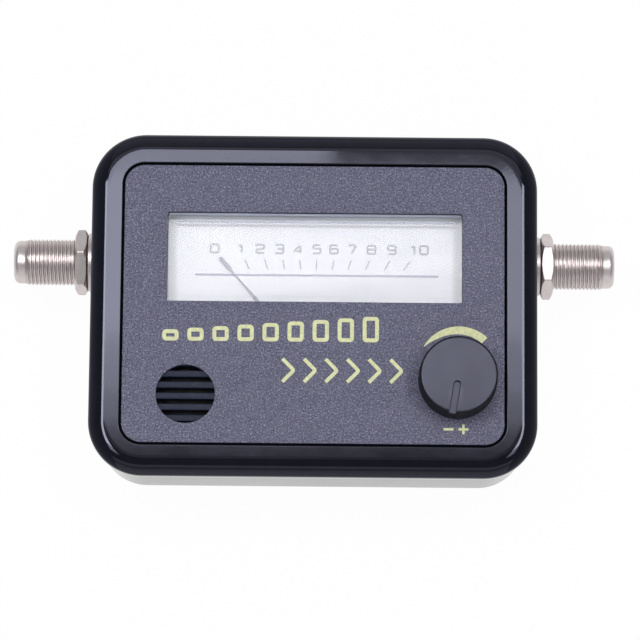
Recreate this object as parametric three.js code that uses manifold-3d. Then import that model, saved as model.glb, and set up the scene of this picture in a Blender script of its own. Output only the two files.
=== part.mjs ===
// Satellite signal meter: a needle meter, a sounder and a gain knob in a small case with a coaxial
// socket on each side. It lies on its back: X runs along the case from socket to socket, Y runs up
// the face, and Z stands out of the face. Sizes are in millimetres.

import * as THREE from "three";
import { mergeVertices } from "three/addons/utils/BufferGeometryUtils.js";
import Module from "manifold-3d";

const wasm = await Module();
wasm.setup();

// Clearances
const fitGap = 0.15;
const runningGap = 0.1;
const overrun = 1;

// Case: a shallow front shell over a deeper rear case
const caseLength = 90.5;
const caseWidth = 70;
const caseDepth = 30;
const caseCornerRadius = 11;
const shellSkirt = 4;
const shellEdgeReach = 3.5;
const shellEdgeDrop = 1.8;
const deckThickness = 2.2;
const rimDepth = 4;
const rimThickness = 1.5;
const rearInset = 1.25;
const rearWall = 2;
const rearEdgeRadius = 3;

// Face plate, set into the front shell
const bezelEndWidth = 6.75;
const bezelSideWidth = 6.6;
const facePlateLength = caseLength - 2 * bezelEndWidth;
const facePlateWidth = caseWidth - 2 * bezelSideWidth;
const facePlateCornerRadius = 4;
const facePlateThickness = 0.8;
const facePlateGroove = 0.45;

// Meter window
const windowLength = 59.75;
const windowWidth = 18.35;
const windowX = 0.15;
const windowY = 9.6;

// Sound grille, set in from the face plate's left end and lower side, and the sounder behind it
const grilleEndInset = 12.8;
const grilleSideInset = 9.85;
const grilleX = grilleEndInset - facePlateLength / 2;
const grilleY = grilleSideInset - facePlateWidth / 2;
const grilleRadius = 5.95;
const grilleSlotWidth = 1;
const grilleSlotPitch = 2.25;
const grilleSlotCount = 6;
const grilleSlotRise = -0.325;
const sounderRadius = 7;
const sounderDepth = 7;
const sounderWall = 1;
const sounderDiscThickness = 0.4;
const sounderDiscDepth = 3;
const sounderLedge = 0.8;
const sounderLeadRadius = 0.3;
const sounderLeadSpacing = 5;

// Case screws, driven from the back
const screwInset = 8.5;
const pillarRadius = 4.2;
const pillarHeight = 20;
const counterboreRadius = 3.1;
const counterboreDepth = 12;
const bossRadius = 3.5;
const caseScrewHeadRadius = 2.7;
const caseScrewHeadHeight = 1.8;
const caseScrewRadius = 1.45;
const caseScrewLength = 13;

// Circuit board
const boardEndGap = 3.5;
const boardSideGap = 3;
const boardSeat = 4;
const boardThickness = 1.6;
const boardPostRadius = 2.6;
const boardScrewInset = 5.5;
const boardScrewY = -9;
const boardPegEndInset = 9.5;
const boardPegSideInset = 5;
const boardPegRadius = 1.2;
const boardScrewHeadRadius = 1.9;
const boardScrewHeadHeight = 1.3;
const boardScrewRadius = 0.95;
const boardScrewLength = 4.5;

// Parts on the board, set in from its long sides
const chipLength = 19.3;
const chipWidth = 6.4;
const chipHeight = 3.3;
const chipInset = 12;
const chipStandoff = 0.5;
const chipLegsPerSide = 7;
const chipLegPitch = 2.54;
const chipLegWidth = 0.6;
const chipLegReach = 0.8;
const capacitorX = 21;
const capacitorInset = 9;
const capacitorRadius = 2.5;
const capacitorHeight = 11;
const capacitorGroove = 0.3;
const chokeX = -20;
const chokeInset = 9;
const chokeRadius = 4;
const chokeHeight = 5;
const chokeFlange = 0.8;
const chokeWaist = 0.8;
const transistorX = 24;
const transistorDrop = 3.7;
const transistorRadius = 2.3;
const transistorHeight = 4.6;
const transistorFlat = 1.3;
const transistorStandoff = 2;
const transistorLegSpacing = 1.27;
const transistorLegWidth = 0.45;
const diodeInset = 4.5;
const diodeRadius = 1;
const diodeLength = 4;
const diodeLeadRadius = 0.3;
const diodeLeadReach = 3;

// Meter body: clear cover, base and dial
const lensRecess = 0.4;
const lensThickness = 1.2;
const lensWall = 1.3;
const lensFlange = 0.8;
const meterWall = 1;
const meterMargin = 1.4;
const trayFloor = 1.2;
const dialDepth = 4.8;
const dialThickness = 0.5;
const meterPinRadius = 0.6;
const meterPinRise = 2;

// Meter movement, turning about a staff behind the face plate
const pivotX = 0.15;
const pivotY = -11.9;
const needleReach = 29.4;
const needleRestAngle = 41.2;
const needleSwing = 84;
const needleSideGap = 0.9;
const needleThickness = 0.3;
const needleLift = 0.3;
const needleWidth = 0.5;
const needleStemWidth = 0.3;
const needleStemStart = 20.6;
const needleFlagWidth = 0.62;
const needleFlagStart = 26;
const needleStep = 0.5;
const needleCrankStart = 8;
const needleCrankRun = 1.2;
const needleHubRadius = 1.8;
const needleHubThickness = 0.4;
const needleTail = 5.2;
const needleTailWidth = 1.4;
const staffRadius = 0.5;
const staffLength = 2.1;
const staffPointLength = 0.6;
const hubSeat = 0.4;
const bearingRadius = 0.9;
const bearingHeight = 1.5;
const bearingCupRadius = 0.65;
const bearingRoof = 0.9;
const bearingHeadroom = 0.4;
const bridgeThickness = 0.8;
const bridgeWidth = 4;
const bridgeProud = 0.4;
const yokeOuterRadius = 9;
const yokeInnerRadius = 6.2;
const yokeHeight = 6;
const yokeRoom = 1.2;
const coreRadius = 3.9;
const coreHeight = 5;
const coreHolderWidth = 3;
const coreHolderHeight = 4;
const coilHeight = 8.4;
const coilReach = 5.5;
const coilWidth = 2;
const coilThickness = 0.75;
const formerWidth = 2.6;
const formerThickness = 0.25;
const padWidth = 4;
const hairspringTurns = 3;
const hairspringInnerRadius = 1;
const hairspringPitch = 0.8;
const hairspringThickness = 0.15;
const hairspringHeight = 0.25;
const hairspringDrop = 0.3;

// Gain control and its knob, set in from the face plate's right end and lower side
const knobEndInset = 9.45;
const knobSideInset = 13.1;
const knobX = facePlateLength / 2 - knobEndInset;
const knobY = knobSideInset - facePlateWidth / 2;
const knobPointAngle = 9.5;
const knobFaceRadius = 7.4;
const knobShoulderRadius = 7.8;
const knobBaseRadius = 7.95;
const knobHeight = 7.2;
const knobLift = 0.4;
const knobShoulder = 0.45;
const knobRecessRadius = 6.6;
const knobRoof = 2.8;
const knobShaftRoof = 1.4;
const pointerWidth = 1.45;
const pointerDepth = 0.9;
const pointerStart = 1.2;
const shaftRadius = 3;
const shaftFlat = 2.2;
const shaftFlatLength = 4;
const bushWall = 0.4;
const bushRise = 3;
const potRadius = 8.25;
const potDepth = 8;
const potWall = 0.8;
const potWaferThickness = 1.2;
const wiperRadius = 6.2;
const wiperThickness = 1.5;
const wiperLift = 0.8;
const collarRadius = 4.5;
const collarThickness = 1;
const potPinWidth = 1;
const potPinThickness = 0.5;
const potPinSpacing = 4.5;
const potPinOffset = 4.4;
const potWasherRadius = 6;
const potWasherThickness = 0.5;
const potNutAcrossFlats = 10;
const potNutThickness = 2;

// Coaxial sockets
const socketY = 10.95;
const socketHeight = 14.5;
const socketReach = 61.8;
const threadRadius = 4.7;
const threadDepth = 0.48;
const threadPitch = 0.79375;
const noseLength = 2.35;
const noseRadius = 4.4;
const noseTipRadius = 3.6;
const socketBoreRadius = 3;
const socketFlangeRadius = 6.3;
const socketFlangeThickness = 1.5;
const insulatorSetback = 0.5;
const contactHoleRadius = 0.6;
const contactHoleDepth = 1;
const contactRadius = 1;
const contactBoreRadius = 0.5;
const contactTail = 4.2;
const leadRadius = 0.4;
const leadRun = 2.8;
const washerRadius = 6.05;
const flatWasherThickness = 0.8;
const lockWasherThickness = 1.4;
const lockWasherWidth = 1;
const lockWasherSplit = 0.6;
const socketNutAcrossFlats = 12;
const socketNutThickness = 2.55;
const socketNutChamfer = 0.8;
const rightNutAngle = 4;
const leftNutAngle = -22;

// Shares of a screw head's radius and of the capacitor's height
const screwCrownShare = 0.8;
const screwSlotWidthShare = 0.3;
const screwSlotLengthShare = 1.1;
const capacitorGrooveShare = 0.12;

// Facets
const fineSides = 32;
const roundSides = 20;
const smallSides = 10;
const wireSides = 8;
const threadSides = 16;
const cornerSteps = 7;
const edgeSteps = 4;

// Heights that follow from the sizes above
const deckTop = caseDepth - facePlateThickness;
const deckUnderside = deckTop - deckThickness;
const partingHeight = caseDepth - shellSkirt;
const rimBottom = partingHeight - rimDepth;
const boardBottom = rearWall + boardSeat;
const boardTop = boardBottom + boardThickness;
const rearHalfLength = caseLength / 2 - rearInset;
const rearHalfWidth = caseWidth / 2 - rearInset;
const rearCornerRadius = caseCornerRadius - rearInset;
const innerHalfLength = rearHalfLength - rearWall;
const innerHalfWidth = rearHalfWidth - rearWall;
const innerCornerRadius = rearCornerRadius - rearWall;
const boardHalfLength = innerHalfLength - boardEndGap;
const boardHalfWidth = innerHalfWidth - boardSideGap;
const boardScrewX = boardHalfLength - boardScrewInset;
const boardPegX = boardHalfLength - boardPegEndInset;
const boardPegY = boardHalfWidth - boardPegSideInset;
const screwX = caseLength / 2 - screwInset;
const screwY = caseWidth / 2 - screwInset;
const meterTop = deckUnderside;
const meterCeiling = meterTop - lensFlange;
const dialTop = caseDepth - dialDepth;
const trayTop = dialTop - dialThickness;
const trayBottom = trayTop - trayFloor;
const movementMiddle = meterCeiling - bearingHeadroom - bearingRoof - staffLength - coilHeight / 2;
const movementReach = meterCeiling - movementMiddle;
const meterFloor = movementMiddle - movementReach;
const meterBottom = meterFloor - meterWall;
const trayHalfLength = windowLength / 2 + meterMargin;
const trayLowY = windowY - windowWidth / 2 - meterMargin;
const trayHighY = windowY + windowWidth / 2 + meterMargin;
const needleSpread = Math.tan(THREE.MathUtils.degToRad(needleSwing - needleRestAngle));
const cupByNeedle = (trayLowY + meterWall - pivotY) * needleSpread + needleSideGap;
const cupInnerReach = Math.max(cupByNeedle, yokeOuterRadius + yokeRoom);
const cupInnerLowY = pivotY - yokeOuterRadius - yokeRoom;
const socketWallX = rearHalfLength;

// Materials

function finish(color, roughness, metalness = 0) {
  return new THREE.MeshStandardMaterial({ color, roughness, metalness });
}

const blackShellFinish = finish("#1c1d26", 0.3);
const rearCaseFinish = finish("#202128", 0.35);
const facePlateFinish = finish("#565663", 0.75);
const knobFinish = finish("#3f3f4a", 0.5);
const clearFinish = finish("#eef1f5", 0.08);
const dialFinish = finish("#f3f3f7", 0.6);
const needleFinish = finish("#9c98b4", 0.5);
const whiteFinish = finish("#e8e8e4", 0.5);
const nickelFinish = finish("#c9c4c0", 0.25, 1);
const steelFinish = finish("#a9abad", 0.35, 1);
const ironFinish = finish("#6f7277", 0.5, 1);
const brassFinish = finish("#c9a75a", 0.35, 1);
const copperFinish = finish("#b5683c", 0.4, 1);
const magnetFinish = finish("#4a4c50", 0.6, 0.6);
const boardFinish = finish("#2f6b3c", 0.6);
const chipFinish = finish("#222326", 0.6);
const waferFinish = finish("#7a5230", 0.7);
const insulatorFinish = finish("#efece2", 0.55);

// Solids

function outwardIndices(positions, indices) {
  const kept = [];
  let volume = 0;
  const corner = [new THREE.Vector3(), new THREE.Vector3(), new THREE.Vector3()];
  for (let at = 0; at < indices.length; at += 3) {
    const [a, b, c] = [indices[at], indices[at + 1], indices[at + 2]];
    if (a === b || b === c || c === a) continue;
    kept.push(a, b, c);
    corner.forEach((point, which) => point.fromArray(positions, [a, b, c][which] * 3));
    volume += corner[0].dot(corner[1].clone().cross(corner[2]));
  }
  if (volume < 0) kept.reverse();
  return kept;
}

function solid(geometry) {
  geometry.deleteAttribute("normal");
  geometry.deleteAttribute("uv");
  const merged = mergeVertices(geometry);
  const vertProperties = new Float32Array(merged.attributes.position.array);
  const triVerts = new Uint32Array(outwardIndices(vertProperties, merged.index.array));
  return new wasm.Manifold(new wasm.Mesh({ numProp: 3, vertProperties, triVerts }));
}

function geometryOf(shape) {
  const mesh = shape.getMesh();
  const geometry = new THREE.BufferGeometry();
  geometry.setAttribute("position", new THREE.BufferAttribute(mesh.vertProperties, 3));
  geometry.setIndex(new THREE.BufferAttribute(mesh.triVerts, 1));
  geometry.computeVertexNormals();
  return geometry;
}

function block(sizeX, sizeY, sizeZ, x, y, bottom) {
  return solid(new THREE.BoxGeometry(sizeX, sizeY, sizeZ).translate(x, y, bottom + sizeZ / 2));
}

function disc(radius, height, x, y, bottom, sides = roundSides) {
  const cylinder = new THREE.CylinderGeometry(radius, radius, height, sides).rotateX(Math.PI / 2);
  return solid(cylinder.translate(x, y, bottom + height / 2));
}

// A profile of [radius, height] pairs, turned about Z
function turned(profile, sides = roundSides) {
  const points = profile.map(([radius, height]) => new THREE.Vector2(radius, height));
  return solid(new THREE.LatheGeometry(points, sides).rotateX(Math.PI / 2));
}

function ring(outerRadius, innerRadius, height, bottom, sides = roundSides) {
  const top = bottom + height;
  const profile = [[innerRadius, bottom], [outerRadius, bottom], [outerRadius, top], [innerRadius, top]];
  return turned([...profile, profile[0]], sides);
}

function hexagon(acrossFlats, height, bottom) {
  const cornerRadius = acrossFlats / 2 / Math.cos(Math.PI / 6);
  return disc(cornerRadius, height, 0, 0, bottom, 6);
}

function roundedLoop({ halfLength, halfWidth, radius, z }) {
  const points = [];
  const corners = [[1, 1], [-1, 1], [-1, -1], [1, -1]];
  corners.forEach(([sideX, sideY], corner) => {
    for (let step = 0; step <= cornerSteps; step += 1) {
      const angle = (corner + step / cornerSteps) * Math.PI / 2;
      const x = sideX * (halfLength - radius) + radius * Math.cos(angle);
      const y = sideY * (halfWidth - radius) + radius * Math.sin(angle);
      points.push(new THREE.Vector3(x, y, z));
    }
  });
  return points;
}

// A closed skin over a stack of loops with equal point counts
function skinned(loops) {
  const count = loops[0].length;
  const points = loops.flat();
  const indices = [];
  for (let level = 0; level + 1 < loops.length; level += 1) {
    for (let at = 0; at < count; at += 1) {
      const next = (at + 1) % count;
      const [a, b] = [level * count + at, level * count + next];
      indices.push(a, b, b + count, a, b + count, a + count);
    }
  }
  const lastLevel = (loops.length - 1) * count;
  for (let at = 1; at + 1 < count; at += 1) {
    indices.push(0, at + 1, at);
    indices.push(lastLevel, lastLevel + at, lastLevel + at + 1);
  }
  const geometry = new THREE.BufferGeometry().setFromPoints(points);
  geometry.setIndex(indices);
  return solid(geometry);
}

function roundedBlock(halfLength, halfWidth, radius, bottom, top) {
  const level = z => roundedLoop({ halfLength, halfWidth, radius, z });
  return skinned([level(bottom), level(top)]);
}

function extruded(shape, height, bottom) {
  const geometry = new THREE.ExtrudeGeometry(shape, { depth: height, bevelEnabled: false });
  return solid(geometry.translate(0, 0, bottom));
}

function wire(path, radius, steps) {
  const section = new THREE.Shape();
  for (let side = 0; side < wireSides; side += 1) {
    const angle = side / wireSides * Math.PI * 2;
    const [x, y] = [radius * Math.cos(angle), radius * Math.sin(angle)];
    if (side === 0) section.moveTo(x, y);
    else section.lineTo(x, y);
  }
  return solid(new THREE.ExtrudeGeometry(section, { steps, bevelEnabled: false, extrudePath: path }));
}

// A screw thread about Z: a root line and a crest line run round it together, with fans as ends
function threadedRod(radius, depth, pitch, length, sides) {
  const rows = Math.ceil(length / pitch) * 2;
  const points = [];
  const addPoint = (row, side) => {
    const rowRadius = row % 2 === 0 ? radius - depth : radius;
    const angle = side / sides * Math.PI * 2;
    const z = (row / 2 + side / sides) * pitch;
    points.push(new THREE.Vector3(rowRadius * Math.cos(angle), rowRadius * Math.sin(angle), z));
  };
  for (let row = 0; row <= rows; row += 1) {
    for (let side = 0; side < sides; side += 1) addPoint(row, side);
  }
  addPoint(rows + 1, 0);
  addPoint(rows + 2, 0);
  const at = (row, side) => {
    if (side === sides) return at(row + 2, 0);
    return row <= rows ? row * sides + side : (rows + 1) * sides + row - rows - 1;
  };
  const indices = [];
  for (let row = 0; row < rows; row += 1) {
    for (let side = 0; side < sides; side += 1) {
      const [a, b] = [at(row, side), at(row, side + 1)];
      const [c, d] = [at(row + 1, side + 1), at(row + 1, side)];
      indices.push(a, b, c, a, c, d);
    }
  }
  const endLoop = row => {
    const loop = Array.from({ length: sides }, (unused, side) => at(row, side));
    return [...loop, at(row + 2, 0), at(row + 1, 0)];
  };
  const closeEnd = (row, z, facesUp) => {
    const centre = points.push(new THREE.Vector3(0, 0, z)) - 1;
    const loop = endLoop(row);
    loop.forEach((here, which) => {
      const next = loop[(which + 1) % loop.length];
      if (facesUp) indices.push(centre, here, next);
      else indices.push(centre, next, here);
    });
  };
  closeEnd(0, 0, false);
  closeEnd(rows, (rows / 2 + 1) * pitch, true);
  const geometry = new THREE.BufferGeometry().setFromPoints(points);
  geometry.setIndex(indices);
  return solid(geometry);
}

// A flat spiral strip about Z
function spiral(innerRadius, pitch, turns, thickness, height, bottom) {
  const steps = Math.round(turns * smallSides);
  const edge = offset => Array.from({ length: steps + 1 }, (unused, step) => {
    const angle = step / smallSides * Math.PI * 2;
    const radius = innerRadius + offset + step / smallSides * pitch;
    return new THREE.Vector2(radius * Math.cos(angle), radius * Math.sin(angle));
  });
  const outline = [...edge(thickness), ...edge(0).reverse()];
  return extruded(new THREE.Shape(outline), height, bottom);
}

const whole = new THREE.Group();
whole.name = "satellite_signal_meter";

function place(parent, name, shape, material) {
  const mesh = new THREE.Mesh(geometryOf(shape), material);
  mesh.name = name;
  parent.add(mesh);
  return mesh;
}

function group(x, y, z) {
  const made = new THREE.Group();
  made.position.set(x, y, z);
  whole.add(made);
  return made;
}

const fourCorners = [[1, 1], [-1, 1], [-1, -1], [1, -1]];
const bothSides = [["right", 1], ["left", -1]];

// Front shell: rounded top edge, a recess for the face plate and a rim that enters the rear case

function shellOutside() {
  const loops = [];
  const level = (reach, z) => roundedLoop({
    halfLength: caseLength / 2 - reach,
    halfWidth: caseWidth / 2 - reach,
    radius: caseCornerRadius - reach,
    z,
  });
  loops.push(level(0, partingHeight));
  for (let step = 0; step <= edgeSteps; step += 1) {
    const angle = step / edgeSteps * Math.PI / 2;
    const reach = shellEdgeReach * (1 - Math.cos(angle));
    loops.push(level(reach, caseDepth - shellEdgeDrop * (1 - Math.sin(angle))));
  }
  return skinned(loops);
}

function socketHole() {
  const through = disc(threadRadius + fitGap, caseLength + overrun, 0, 0, -(caseLength + overrun) / 2);
  return through.rotate([0, 90, 0]).translate([0, socketY, socketHeight]);
}

function windowCut(bottom, top, gap = 0) {
  const [length, width] = [windowLength - 2 * gap, windowWidth - 2 * gap];
  return block(length, width, top - bottom, windowX, windowY, bottom);
}

function grilleSlots() {
  let slots = null;
  const firstY = grilleY + grilleSlotRise - (grilleSlotCount - 1) / 2 * grilleSlotPitch;
  for (let slot = 0; slot < grilleSlotCount; slot += 1) {
    const y = firstY + slot * grilleSlotPitch;
    const depth = deckThickness + 2 * overrun;
    const cut = block(grilleRadius * 2, grilleSlotWidth, depth, grilleX, y, deckUnderside - overrun);
    slots = slots ? slots.add(cut) : cut;
  }
  const boreHeight = deckThickness + 2 * overrun;
  const bore = disc(grilleRadius, boreHeight, grilleX, grilleY, deckUnderside - overrun, fineSides);
  return slots.intersect(bore);
}

function makeFrontShell() {
  const rimHalfLength = innerHalfLength - fitGap;
  const rimHalfWidth = innerHalfWidth - fitGap;
  const rimRadius = innerCornerRadius - fitGap;
  const insideRadius = rimRadius - rimThickness;
  let shell = shellOutside();
  shell = shell.add(roundedBlock(rimHalfLength, rimHalfWidth, rimRadius, rimBottom, deckUnderside));
  shell = shell.subtract(roundedBlock(
    rimHalfLength - rimThickness,
    rimHalfWidth - rimThickness,
    insideRadius,
    rimBottom - overrun,
    deckUnderside,
  ));
  shell = shell.subtract(roundedBlock(
    facePlateLength / 2 + facePlateGroove,
    facePlateWidth / 2 + facePlateGroove,
    facePlateCornerRadius + facePlateGroove,
    deckTop,
    caseDepth + overrun,
  ));
  const bossBottom = pillarHeight + fitGap;
  const pilotTop = counterboreDepth + caseScrewLength + fitGap;
  for (const [sideX, sideY] of fourCorners) {
    const [x, y] = [sideX * screwX, sideY * screwY];
    shell = shell.add(disc(bossRadius, deckUnderside - bossBottom, x, y, bossBottom));
    const pilotRadius = caseScrewRadius + fitGap;
    const pilotBottom = bossBottom - overrun;
    shell = shell.subtract(disc(pilotRadius, pilotTop - pilotBottom, x, y, pilotBottom, smallSides));
  }
  shell = shell.subtract(windowCut(deckUnderside - overrun, caseDepth));
  shell = shell.subtract(grilleSlots());
  shell = shell.subtract(bushHole(deckUnderside - overrun, caseDepth));
  place(whole, "front_shell", shell, blackShellFinish);
}

function bushHole(bottom, top) {
  const radius = shaftRadius + runningGap + bushWall + fitGap;
  return disc(radius, top - bottom, knobX, knobY, bottom);
}

function makeFacePlate() {
  const top = caseDepth + overrun;
  const bottom = deckTop - overrun;
  const [halfLength, halfWidth] = [facePlateLength / 2, facePlateWidth / 2];
  let plate = roundedBlock(halfLength, halfWidth, facePlateCornerRadius, deckTop, caseDepth);
  plate = plate.subtract(windowCut(bottom, top));
  plate = plate.subtract(disc(grilleRadius, top - bottom, grilleX, grilleY, bottom, fineSides));
  plate = plate.subtract(bushHole(bottom, top));
  place(whole, "face_plate", plate, facePlateFinish);
}

// Rear case: a tub with screw pillars, board posts and a hole for each socket

function rearOutside() {
  const loops = [];
  const level = (reach, z) => roundedLoop({
    halfLength: rearHalfLength - reach,
    halfWidth: rearHalfWidth - reach,
    radius: rearCornerRadius - reach,
    z,
  });
  for (let step = 0; step <= edgeSteps; step += 1) {
    const angle = step / edgeSteps * Math.PI / 2;
    loops.push(level(rearEdgeRadius * (1 - Math.sin(angle)), rearEdgeRadius * (1 - Math.cos(angle))));
  }
  loops.push(level(0, partingHeight));
  return skinned(loops);
}

function boardPosts() {
  let posts = null;
  const screwDepth = boardScrewLength - boardThickness + fitGap;
  for (const [, side] of bothSides) {
    const post = disc(boardPostRadius, boardSeat, side * boardScrewX, boardScrewY, rearWall);
    const hole = disc(
      boardScrewRadius + fitGap,
      screwDepth + overrun,
      side * boardScrewX,
      boardScrewY,
      boardBottom - screwDepth,
      smallSides,
    );
    const pegX = side * boardPegX;
    const stand = disc(boardPostRadius, boardSeat, pegX, boardPegY, rearWall);
    const peg = disc(boardPegRadius, boardTop - rearWall, pegX, boardPegY, rearWall, smallSides);
    const made = post.subtract(hole).add(stand).add(peg);
    posts = posts ? posts.add(made) : made;
  }
  return posts;
}

function makeRearCase() {
  let rear = rearOutside();
  rear = rear.subtract(roundedBlock(
    innerHalfLength,
    innerHalfWidth,
    innerCornerRadius,
    rearWall,
    partingHeight + overrun,
  ));
  for (const [sideX, sideY] of fourCorners) {
    rear = rear.add(disc(pillarRadius, pillarHeight - rearWall, sideX * screwX, sideY * screwY, rearWall));
  }
  for (const [sideX, sideY] of fourCorners) {
    const [x, y] = [sideX * screwX, sideY * screwY];
    rear = rear.subtract(disc(counterboreRadius, counterboreDepth + overrun, x, y, -overrun));
    const clearance = caseScrewRadius + 2 * fitGap;
    rear = rear.subtract(disc(clearance, pillarHeight + overrun, x, y, 0, smallSides));
  }
  rear = rear.add(boardPosts());
  rear = rear.subtract(socketHole());
  place(whole, "rear_case", rear, rearCaseFinish);
}

// A pan head screw standing head down about Z, with its head's underside at zero
function screw(headRadius, headHeight, shankRadius, length) {
  const headEdge = headHeight / 2;
  const point = shankRadius;
  const shape = turned([
    [0, -headHeight],
    [headRadius * screwCrownShare, -headHeight],
    [headRadius, -headEdge],
    [headRadius, 0],
    [shankRadius, 0],
    [shankRadius, length - point],
    [0, length],
  ], smallSides);
  const slotWidth = headRadius * screwSlotWidthShare;
  const slotLength = headRadius * screwSlotLengthShare;
  const slotDepth = headHeight / 2;
  const cutBottom = -headHeight - overrun;
  const alongX = block(slotLength, slotWidth, slotDepth + overrun, 0, 0, cutBottom);
  const alongY = block(slotWidth, slotLength, slotDepth + overrun, 0, 0, cutBottom);
  return shape.subtract(alongX.add(alongY));
}

function makeCaseScrews() {
  fourCorners.forEach(([sideX, sideY], which) => {
    const shape = screw(caseScrewHeadRadius, caseScrewHeadHeight, caseScrewRadius, caseScrewLength);
    const at = group(sideX * screwX, sideY * screwY, counterboreDepth);
    place(at, `case_screw_${which + 1}`, shape, steelFinish);
  });
}

// Circuit board and what it carries

function makeBoard() {
  let board = block(2 * boardHalfLength, 2 * boardHalfWidth, boardThickness, 0, 0, boardBottom);
  const [bottom, height] = [boardBottom - overrun, boardThickness + 2 * overrun];
  for (const [sideX, sideY] of fourCorners) {
    board = board.subtract(disc(pillarRadius + 2 * fitGap, height, sideX * screwX, sideY * screwY, bottom));
  }
  for (const [, side] of bothSides) {
    const [pegX, pegHole] = [side * boardPegX, boardPegRadius + fitGap];
    const [holeX, screwHole] = [side * boardScrewX, boardScrewRadius + fitGap];
    board = board.subtract(disc(pegHole, height, pegX, boardPegY, bottom, smallSides));
    board = board.subtract(disc(screwHole, height, holeX, boardScrewY, bottom, smallSides));
  }
  place(whole, "circuit_board", board, boardFinish);
  for (const [name, side] of bothSides) {
    const shape = screw(boardScrewHeadRadius, boardScrewHeadHeight, boardScrewRadius, boardScrewLength);
    const at = group(side * boardScrewX, boardScrewY, boardTop);
    place(at, `board_screw_${name}`, shape.rotate([180, 0, 0]), steelFinish);
  }
}

function makeChip() {
  const bodyBottom = chipStandoff;
  const shoulder = bodyBottom + chipHeight / 2;
  let chip = block(chipLength, chipWidth, chipHeight, 0, 0, bodyBottom);
  for (let leg = 0; leg < chipLegsPerSide; leg += 1) {
    const x = (leg - (chipLegsPerSide - 1) / 2) * chipLegPitch;
    const reach = chipWidth + 2 * chipLegReach;
    const crossbar = block(chipLegWidth, reach, chipLegWidth / 2, x, 0, shoulder);
    chip = chip.add(crossbar);
    for (const [, side] of bothSides) {
      const y = side * (reach / 2 - chipLegWidth / 4);
      chip = chip.add(block(chipLegWidth, chipLegWidth / 2, shoulder + chipLegWidth / 2, x, y, 0));
    }
  }
  place(group(0, boardHalfWidth - chipInset, boardTop), "op_amp_chip", chip, chipFinish);
}

function makeCapacitor() {
  const grooveZ = capacitorHeight * capacitorGrooveShare;
  const waist = capacitorRadius - capacitorGroove;
  const shape = turned([
    [0, 0],
    [capacitorRadius, 0],
    [capacitorRadius, grooveZ],
    [waist, grooveZ + capacitorGroove],
    [capacitorRadius, grooveZ + 2 * capacitorGroove],
    [capacitorRadius, capacitorHeight - capacitorGroove],
    [waist, capacitorHeight],
    [0, capacitorHeight],
  ], smallSides);
  const at = group(capacitorX, boardHalfWidth - capacitorInset, boardTop);
  place(at, "supply_capacitor", shape, boardFinish);
}

function makeChoke() {
  const waist = chokeRadius - chokeWaist;
  const shape = turned([
    [0, 0],
    [chokeRadius, 0],
    [chokeRadius, chokeFlange],
    [waist, chokeFlange],
    [waist, chokeHeight - chokeFlange],
    [chokeRadius, chokeHeight - chokeFlange],
    [chokeRadius, chokeHeight],
    [0, chokeHeight],
  ], smallSides);
  place(group(chokeX, boardHalfWidth - chokeInset, boardTop), "feed_choke", shape, magnetFinish);
}

function makeTransistors() {
  for (const [name, side] of bothSides) {
    let shape = disc(transistorRadius, transistorHeight, 0, 0, transistorStandoff, smallSides);
    const cutDepth = transistorRadius;
    const cutY = -transistorFlat - cutDepth / 2;
    const [cutLength, cutHeight] = [2 * transistorRadius, transistorHeight + 2 * overrun];
    shape = shape.subtract(block(cutLength, cutDepth, cutHeight, 0, cutY, transistorStandoff - overrun));
    for (const leg of [-1, 0, 1]) {
      const legHeight = transistorStandoff + transistorHeight / 2;
      const x = leg * transistorLegSpacing;
      shape = shape.add(block(transistorLegWidth, transistorLegWidth, legHeight, x, 0, 0));
    }
    const at = group(side * transistorX, socketY - transistorDrop, boardTop);
    place(at, `rf_transistor_${name}`, shape, chipFinish);
  }
}

function makeDiode() {
  const bendX = diodeLength / 2 + diodeLeadReach;
  const body = disc(diodeRadius, diodeLength, 0, 0, -diodeLength / 2, smallSides);
  let shape = body.rotate([0, 90, 0]).translate([0, 0, diodeRadius]);
  const lead = 2 * diodeLeadRadius;
  shape = shape.add(block(2 * bendX, lead, lead, 0, 0, diodeRadius - diodeLeadRadius));
  for (const [, side] of bothSides) {
    shape = shape.add(block(lead, lead, diodeRadius, side * (bendX - diodeLeadRadius), 0, 0));
  }
  place(group(0, diodeInset - boardHalfWidth, boardTop), "detector_diode", shape, chipFinish);
}

// Sounder behind the grille

function makeSounder() {
  const bottom = deckUnderside - sounderDepth;
  const discBottom = deckUnderside - sounderDiscDepth;
  const boreRadius = sounderRadius - sounderWall;
  const shape = turned([
    [0, bottom],
    [sounderRadius, bottom],
    [sounderRadius, deckUnderside],
    [boreRadius, deckUnderside],
    [boreRadius, discBottom],
    [boreRadius - sounderLedge, discBottom],
    [boreRadius - sounderLedge, bottom + sounderWall],
    [0, bottom + sounderWall],
  ]);
  const at = group(grilleX, grilleY, 0);
  place(at, "sounder_case", shape, chipFinish);
  const element = disc(boreRadius - fitGap, sounderDiscThickness, 0, 0, discBottom);
  place(at, "sounder_disc", element, brassFinish);
  for (const [name, side] of bothSides) {
    const x = side * sounderLeadSpacing / 2;
    const lead = disc(sounderLeadRadius, bottom - boardTop, x, 0, boardTop, wireSides);
    place(at, `sounder_lead_${name}`, lead, copperFinish);
  }
}

// Meter body: a wide tray for the dial with a cup below it for the movement

function meterOutline(inset, bottom, top) {
  const trayWidth = trayHighY - trayLowY;
  const trayY = (trayHighY + trayLowY) / 2;
  const height = top - bottom;
  const cupReach = cupInnerReach + meterWall - inset;
  const cupLowY = cupInnerLowY - meterWall + inset;
  const cupHighY = trayLowY + inset;
  const tray = block(2 * (trayHalfLength - inset), trayWidth - 2 * inset, height, windowX, trayY, bottom);
  const cupWidth = cupHighY - cupLowY + overrun;
  const cup = block(2 * cupReach, cupWidth, height, pivotX, cupLowY + cupWidth / 2, bottom);
  return { tray, cup };
}

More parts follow.
